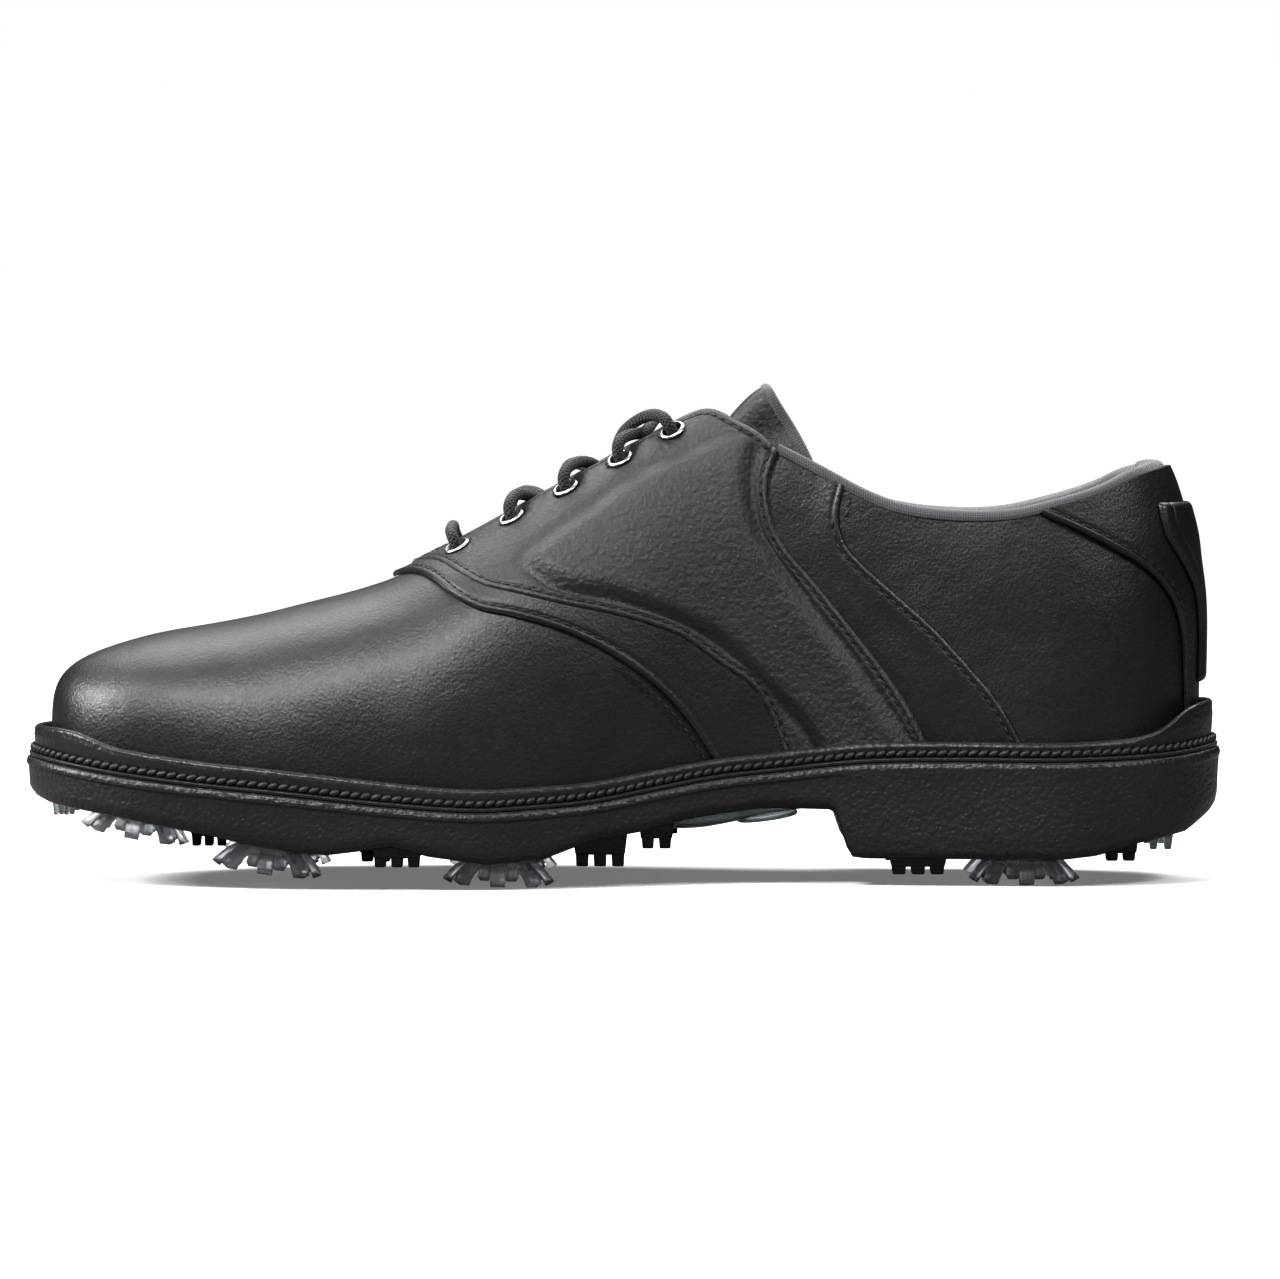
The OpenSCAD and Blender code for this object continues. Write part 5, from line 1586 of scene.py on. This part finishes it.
    def stitching(self, pitch: float = 2.55) -> None:
        """The wheeled thread along the welt, one slanted bead for each stitch."""
        n = 2400
        u = np.linspace(0, 1, n)
        p = self.ring(u, np.full(n, self.lip_in - self.lip_t - 0.75))
        p[:, 2] = LAST.stitch_z(p[:, 0]) + 0.15
        far = np.concatenate([[0], np.cumsum(np.linalg.norm(np.diff(p, axis=0), axis=1))])
        count = int(far[-1] / pitch)
        at = np.linspace(0, far[-1], count, endpoint=False)
        q = np.stack([np.interp(at, far, p[:, i]) for i in range(3)], -1)
        t = unit(np.roll(q, -1, axis=0) - np.roll(q, 1, axis=0))
        part = stitch_part(3.1, 1.75)
        bm = bmesh.new()
        for here, d in zip(q, t):
            outward = np.cross(d, [0, 0, 1.0])
            slant = Matrix.Rotation(math.radians(24), 4, Vector(outward))
            where = frame_at(here, outward, d)
            spot = Matrix.Translation(where.translation)
            add_part(bm, part, spot @ slant @ spot.inverted() @ where)
        part.free()
        Piece("welt_thread", Palette.thread, replaces=["welt_stitching"]).publish(bm)

    def footbed(self) -> None:
        """The padded footbed, dished under the heel and the ball."""
        inset, base = 12.7, 0.0

        def place(u: np.ndarray, v: np.ndarray) -> np.ndarray:
            """Points of its upper face."""
            k = self.station(u / 2)[0]
            x = LAST.plan_x(k, inset)
            w = v * 2 - 1
            y = curve(LAST.plan_mid, x) + w * LAST.plan_w(k, inset)
            z = LAST.stitch_z(x) + base + 3.9 + 0.8 * np.abs(w) ** 3 - 0.5 * bell(x, 100, 40) * (1 - w**2)
            return np.stack([x, y, z], -1)
        bm = grid(150, 44, place, (270, 80))
        bmesh.ops.remove_doubles(bm, verts=bm.verts[:], dist=1e-6)
        face_out(bm, lambda p: Vector((p.x, p.y, p.z - 0.01)))
        obj = Piece("footbed", Palette.sock, replaces=["sock_liner"]).publish(bm)
        thicken(obj, 3.6)

    def insert(self) -> None:
        """The clear plate under the waist and the oval ring moulded on it."""
        line = ((6, 13.4), (12, 12.6), (19, 12.8), (26, 14), (33, 15.6), (40, 17), (47, 18))

        def place(u: np.ndarray, v: np.ndarray) -> np.ndarray:
            """Points of its underside."""
            x = 6 + 41 * u
            w = v * 2 - 1
            half = 19 * np.sqrt(np.maximum(1 - ((x - 26.5) / 21.5) ** 2, 0)) + 1
            top = LAST.bottom_z(x) + 0.9
            z = np.minimum(curve(line, x), top - 1.4)
            ridge = 0.35 * bell(np.abs(w), 0.72, 0.06)
            return np.stack([x, 4 + w * half, top - 1 - (top - 1 - z) * (1 - w**4) - ridge], -1)
        bm = grid(70, 40, place, (41, 40))
        face_out(bm, lambda p: Vector((p.x, p.y, p.z + 0.01)))
        obj = Piece("arch_plate", Palette.clear, replaces=["arch_insert"]).publish(bm)
        thicken(obj, 1.6)
        ring = bmesh.new()
        bmesh.ops.create_circle(ring, cap_ends=False, segments=12, radius=0.75 * MM)
        upright = Matrix.Rotation(math.pi / 2, 3, "X")
        bmesh.ops.rotate(ring, cent=(0, 0, 0), matrix=upright, verts=ring.verts[:])
        bmesh.ops.translate(ring, vec=(5.5 * MM, 0, 0), verts=ring.verts[:])
        bmesh.ops.spin(ring, geom=ring.verts[:] + ring.edges[:], cent=(0, 0, 0), axis=(0, 0, 1),
                       angle=2 * math.pi, steps=48, use_merge=True)
        bmesh.ops.remove_doubles(ring, verts=ring.verts[:], dist=1e-7)
        bmesh.ops.scale(ring, vec=(1.25, 1.9, 1), verts=ring.verts[:])
        bmesh.ops.recalc_face_normals(ring, faces=ring.faces[:])
        tilt = Matrix.Rotation(math.radians(-8), 4, "Y")
        ring.transform(Matrix.Translation(Vector((36, 2, 15.6)) * MM) @ tilt)
        Piece("arch_ring", Palette.clear).publish(ring)

    def grips(self) -> None:
        """The clear claws under the toe and the heel."""
        for name, node, posts in (("toe_claws", "toe_grip", self.toe_posts),
                                  ("heel_claws", "heel_grip", self.heel_posts)):
            bm = bmesh.new()
            for x, y, long, wide, z in posts:
                top = float(LAST.bottom_z(np.array([x]))[0]) + 2.5
                for dx in (-0.3, 0.3):
                    part = block((long * 0.52, wide, top - z), (x + dx * long, y, (top + z) / 2), 0.5, 0.25)
                    add_part(bm, part, Matrix.Identity(4))
                    part.free()
                part = block((long, wide * 1.2, (top - z) * 0.45), (x, y, top - (top - z) * 0.225), 0.1, 0.3)
                add_part(bm, part, Matrix.Identity(4))
                part.free()
            Piece(name, Palette.clear, replaces=[node]).publish(bm)

    def build(self) -> None:
        """Makes the whole sole."""
        self.outsole()
        self.welt()
        self.stitching()
        self.footbed()
        self.insert()
        self.grips()


def seat_matrix(seat: Sequence[float]) -> Matrix:
    """Place of a cleat seat (x, y, z, tilt), its z axis square to the sole."""
    x, y, z, tilt = seat
    return Matrix.Translation(Vector((x, y, z)) * MM) @ Matrix.Rotation(math.radians(tilt), 4, "Y")


@dataclass
class Cleats:
    """Seven removable cleats, all of one shape."""

    diameter: float = 27.6
    height: float = 6.8
    legs: int = 8
    stud: float = 11.6

    def leg(self, reach: float, foot: float, width: float, z: float) -> bmesh.types.BMesh:
        """A splayed leg that bends down from the disc to its foot.

        Args:
            reach: how far out its tip is.
            foot: length of its foot.
            width: its width at the root.
            z: height of its tip.
        Returns:
            The leg in metres.
        """
        bm = bmesh.new()
        bmesh.ops.create_cube(bm, size=1.0)
        lengthwise = [e for e in bm.edges if abs(e.verts[0].co.x - e.verts[1].co.x) > 0.5]
        bmesh.ops.subdivide_edges(bm, edges=lengthwise, cuts=5, use_grid_fill=True)
        root = 5.5
        for v in bm.verts:
            t = v.co.x + 0.5
            r = root + (reach - root) * t
            bend = t**2.4
            thick = 2.3 * (1 - 0.25 * t)
            w = width * (1 - 0.22 * t)
            down = -1.2 + z * bend + v.co.z * thick * (1 - bend * 0.3)
            v.co = Vector((r + (foot * v.co.z * bend), v.co.y * w, down)) * MM
        bmesh.ops.bevel(bm, geom=bm.edges[:], offset=0.18 * MM, affect="EDGES", segments=1, profile=0.5,
                        material=-1)
        return bm

    def part(self) -> bmesh.types.BMesh:
        """One cleat with its seat at z = 0."""
        bm = bmesh.new()
        profile = ((0.0, -3.1), (2.2, -3.0), (3.2, -2.4), (8.1, -2.35), (8.5, -2.0), (8.5, -0.5),
                   (8.2, -0.22), (5.8, -0.2), (5.8, 4.1), (5.5, 4.4), (0.0, 4.4))
        verts = [bm.verts.new((r * MM, 0, z * MM)) for r, z in profile]
        edges = [bm.edges.new((verts[i], verts[i + 1])) for i in range(len(verts) - 1)]
        bmesh.ops.spin(bm, geom=verts + edges, cent=(0, 0, 0), axis=(0, 0, 1), angle=2 * math.pi, steps=40,
                       use_merge=True)
        bmesh.ops.remove_doubles(bm, verts=bm.verts[:], dist=1e-7)
        bmesh.ops.recalc_face_normals(bm, faces=bm.faces[:])
        long = self.leg(self.diameter / 2 - 1.0, 2.2, 4.7, -(self.height - 1.8))
        for i in range(self.legs):
            add_part(bm, long, Matrix.Rotation(2 * math.pi * i / self.legs, 4, "Z"))
        short = self.leg(9.4, 1.6, 3.4, -3.8)
        for i in range(self.legs):
            add_part(bm, short, Matrix.Rotation(2 * math.pi * (i + 0.5) / self.legs, 4, "Z"))
        long.free()
        short.free()
        return bm

    def build(self, seats: Table) -> None:
        """Puts a cleat in each seat.

        Args:
            seats: the seats of the sole.
        """
        for i, seat in enumerate(seats, 1):
            bm = self.part()
            bm.transform(seat_matrix(seat))
            Piece(f"cleat_claw_{i}", Palette.cleat, f"cleat_{i}", [f"cleat_{i}"]).publish(bm)


@dataclass
class Core:
    """The CAD nodes that stay, with their finishes."""

    finishes: tuple = (("midsole", Palette.foam), ("shank", Palette.shank), ("insole_board", Palette.board),
                       ("cleat_receptacles", Palette.receptacle), ("toe_puff", Palette.stiffener),
                       ("heel_counter", Palette.stiffener), ("backing_medial", Palette.foam),
                       ("backing_lateral", Palette.foam), ("collar_padding", Palette.foam))

    def build(self) -> None:
        """Gives each its material."""
        for name, finish in self.finishes:
            PALETTE.put(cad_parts[name], finish)
            LOG.info("%s: kept", name)


@dataclass
class Studio:
    """Floor, lights, background and camera, in metres."""

    lens: float = 200.0
    view_width: float = 0.3229
    target: tuple = (0.0039, 0.0, 0.0602)
    elevation: float = 2.0
    floor_size: float = 60.0
    glow: float = 0.22
    fade_from: float = 0.25
    fade_rate: float = 0.8
    paper: tuple = (0.66, 0.68)
    paper_cast: float = 0.16

    def light(self, name: str, at: Sequence[float], size: tuple, power: float, aim: Sequence[float]) -> None:
        """Adds a soft box.

        Args:
            name: its name.
            at: where it hangs.
            size: its width and height.
            power: in watts.
            aim: what it points at.
        """
        data = bpy.data.lights.new(name, "AREA")
        data.shape, data.size, data.size_y, data.energy = "RECTANGLE", size[0], size[1], power
        obj = bpy.data.objects.new(name, data)
        obj.location = at
        obj.rotation_euler = (Vector(aim) - Vector(at)).to_track_quat("-Z", "Y").to_euler()
        bpy.context.scene.collection.objects.link(obj)

    def world(self, seen: float = 1.0, cast: float = 0.02) -> None:
        """White where it is seen, dim where it lights."""
        world = bpy.data.worlds.new("studio")
        bpy.context.scene.world = world
        world.use_nodes = True
        nodes, links = world.node_tree.nodes, world.node_tree.links
        nodes.clear()
        path, mix = nodes.new("ShaderNodeLightPath"), nodes.new("ShaderNodeMixShader")
        for i, strength in enumerate((cast, seen), 1):
            back = nodes.new("ShaderNodeBackground")
            back.inputs[0].default_value, back.inputs[1].default_value = (1, 1, 1, 1), strength
            links.new(back.outputs[0], mix.inputs[i])
        either = nodes.new("ShaderNodeMath")
        either.operation = "MAXIMUM"
        links.new(path.outputs["Is Camera Ray"], either.inputs[0])
        links.new(path.outputs["Is Transmission Ray"], either.inputs[1])
        links.new(either.outputs[0], mix.inputs[0])
        links.new(mix.outputs[0], nodes.new("ShaderNodeOutputWorld").inputs[0])

    def floor(self) -> None:
        """A plain pale floor that fades to white; seen from below it is clear."""
        bm = bmesh.new()
        bmesh.ops.create_grid(bm, x_segments=1, y_segments=1, size=self.floor_size / 2)
        mesh = bpy.data.meshes.new("floor")
        bm.to_mesh(mesh)
        bm.free()
        obj = bpy.data.objects.new("floor", mesh)
        bpy.context.scene.collection.objects.link(obj)
        graph = Graph("floor_paper")
        tone = graph.noise(3, 2)
        path = graph.node("ShaderNodeLightPath").outputs
        lit = Wire(graph, path["Is Camera Ray"]).math("MAXIMUM", path["Is Transmission Ray"])
        length = graph.node("ShaderNodeVectorMath", {"operation": "LENGTH"}, {0: graph.place()})
        fade = (Wire(graph, length.outputs[1]) - self.fade_from).math("MULTIPLY", self.fade_rate, clamp=True)
        glow = self.glow + fade * (1 - self.glow)
        below = Wire(graph, graph.node("ShaderNodeNewGeometry").outputs["Backfacing"])
        paper = graph.mix(tone, *(grey(v) for v in self.paper))
        graph.set(Base_Color=graph.mix(lit, grey(self.paper_cast), paper), Roughness=0.9,
                  Specular_IOR_Level=0.1, Emission_Color=graph.mix(lit * glow, grey(0.0), grey(1.0)),
                  Emission_Strength=1.0, Alpha=1 - below)
        obj.data.materials.append(graph.material)

    def camera(self) -> None:
        """The camera, level with the shoe and square to its inner side."""
        data = bpy.data.cameras.new("camera")
        data.lens, data.sensor_width, data.clip_end = self.lens, 36.0, 100.0
        obj = bpy.data.objects.new("camera", data)
        far = self.view_width / 2 / (data.sensor_width / 2 / self.lens)
        e = math.radians(self.elevation)
        back = Vector((0, -math.cos(e), math.sin(e)))
        obj.location = Vector(self.target) + back * far
        obj.rotation_euler = (-back).to_track_quat("-Z", "Y").to_euler()
        bpy.context.scene.collection.objects.link(obj)
        bpy.context.scene.camera = obj

    def build(self) -> None:
        """Sets up the studio."""
        self.camera()
        self.world()
        self.floor()
        aim = (0.0, 0.0, 0.05)
        self.light("key", (-0.4, -0.8, 1.0), (0.4, 0.3), 27.0, (-0.06, 0, 0.05))
        self.light("toe", (-1.0, -0.1, 0.62), (0.3, 0.24), 22.0, (-0.12, 0, 0.05))
        self.light("top", (0.05, 0.5, 0.95), (1.4, 0.7), 22.0, aim)
        self.light("heel", (0.75, -0.7, 0.95), (0.4, 0.3), 14.0, (0.1, 0, 0.07))
        self.light("fill", (0.1, -1.9, 0.35), (1.6, 0.5), 0.3, aim)
        view = bpy.context.scene.view_settings
        view.view_transform, view.gamma = "Standard", 0.84


def main() -> None:
    """Builds the shoe."""
    logging.basicConfig(level=logging.INFO, format="%(message)s")
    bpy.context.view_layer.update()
    Studio().build()
    Lacing().build()
    Core().build()
    sole = Sole()
    sole.build()
    Cleats().build(sole.seats)
    Upper().build()
    Tongue().build()


if __name__ == "__main__":
    main()
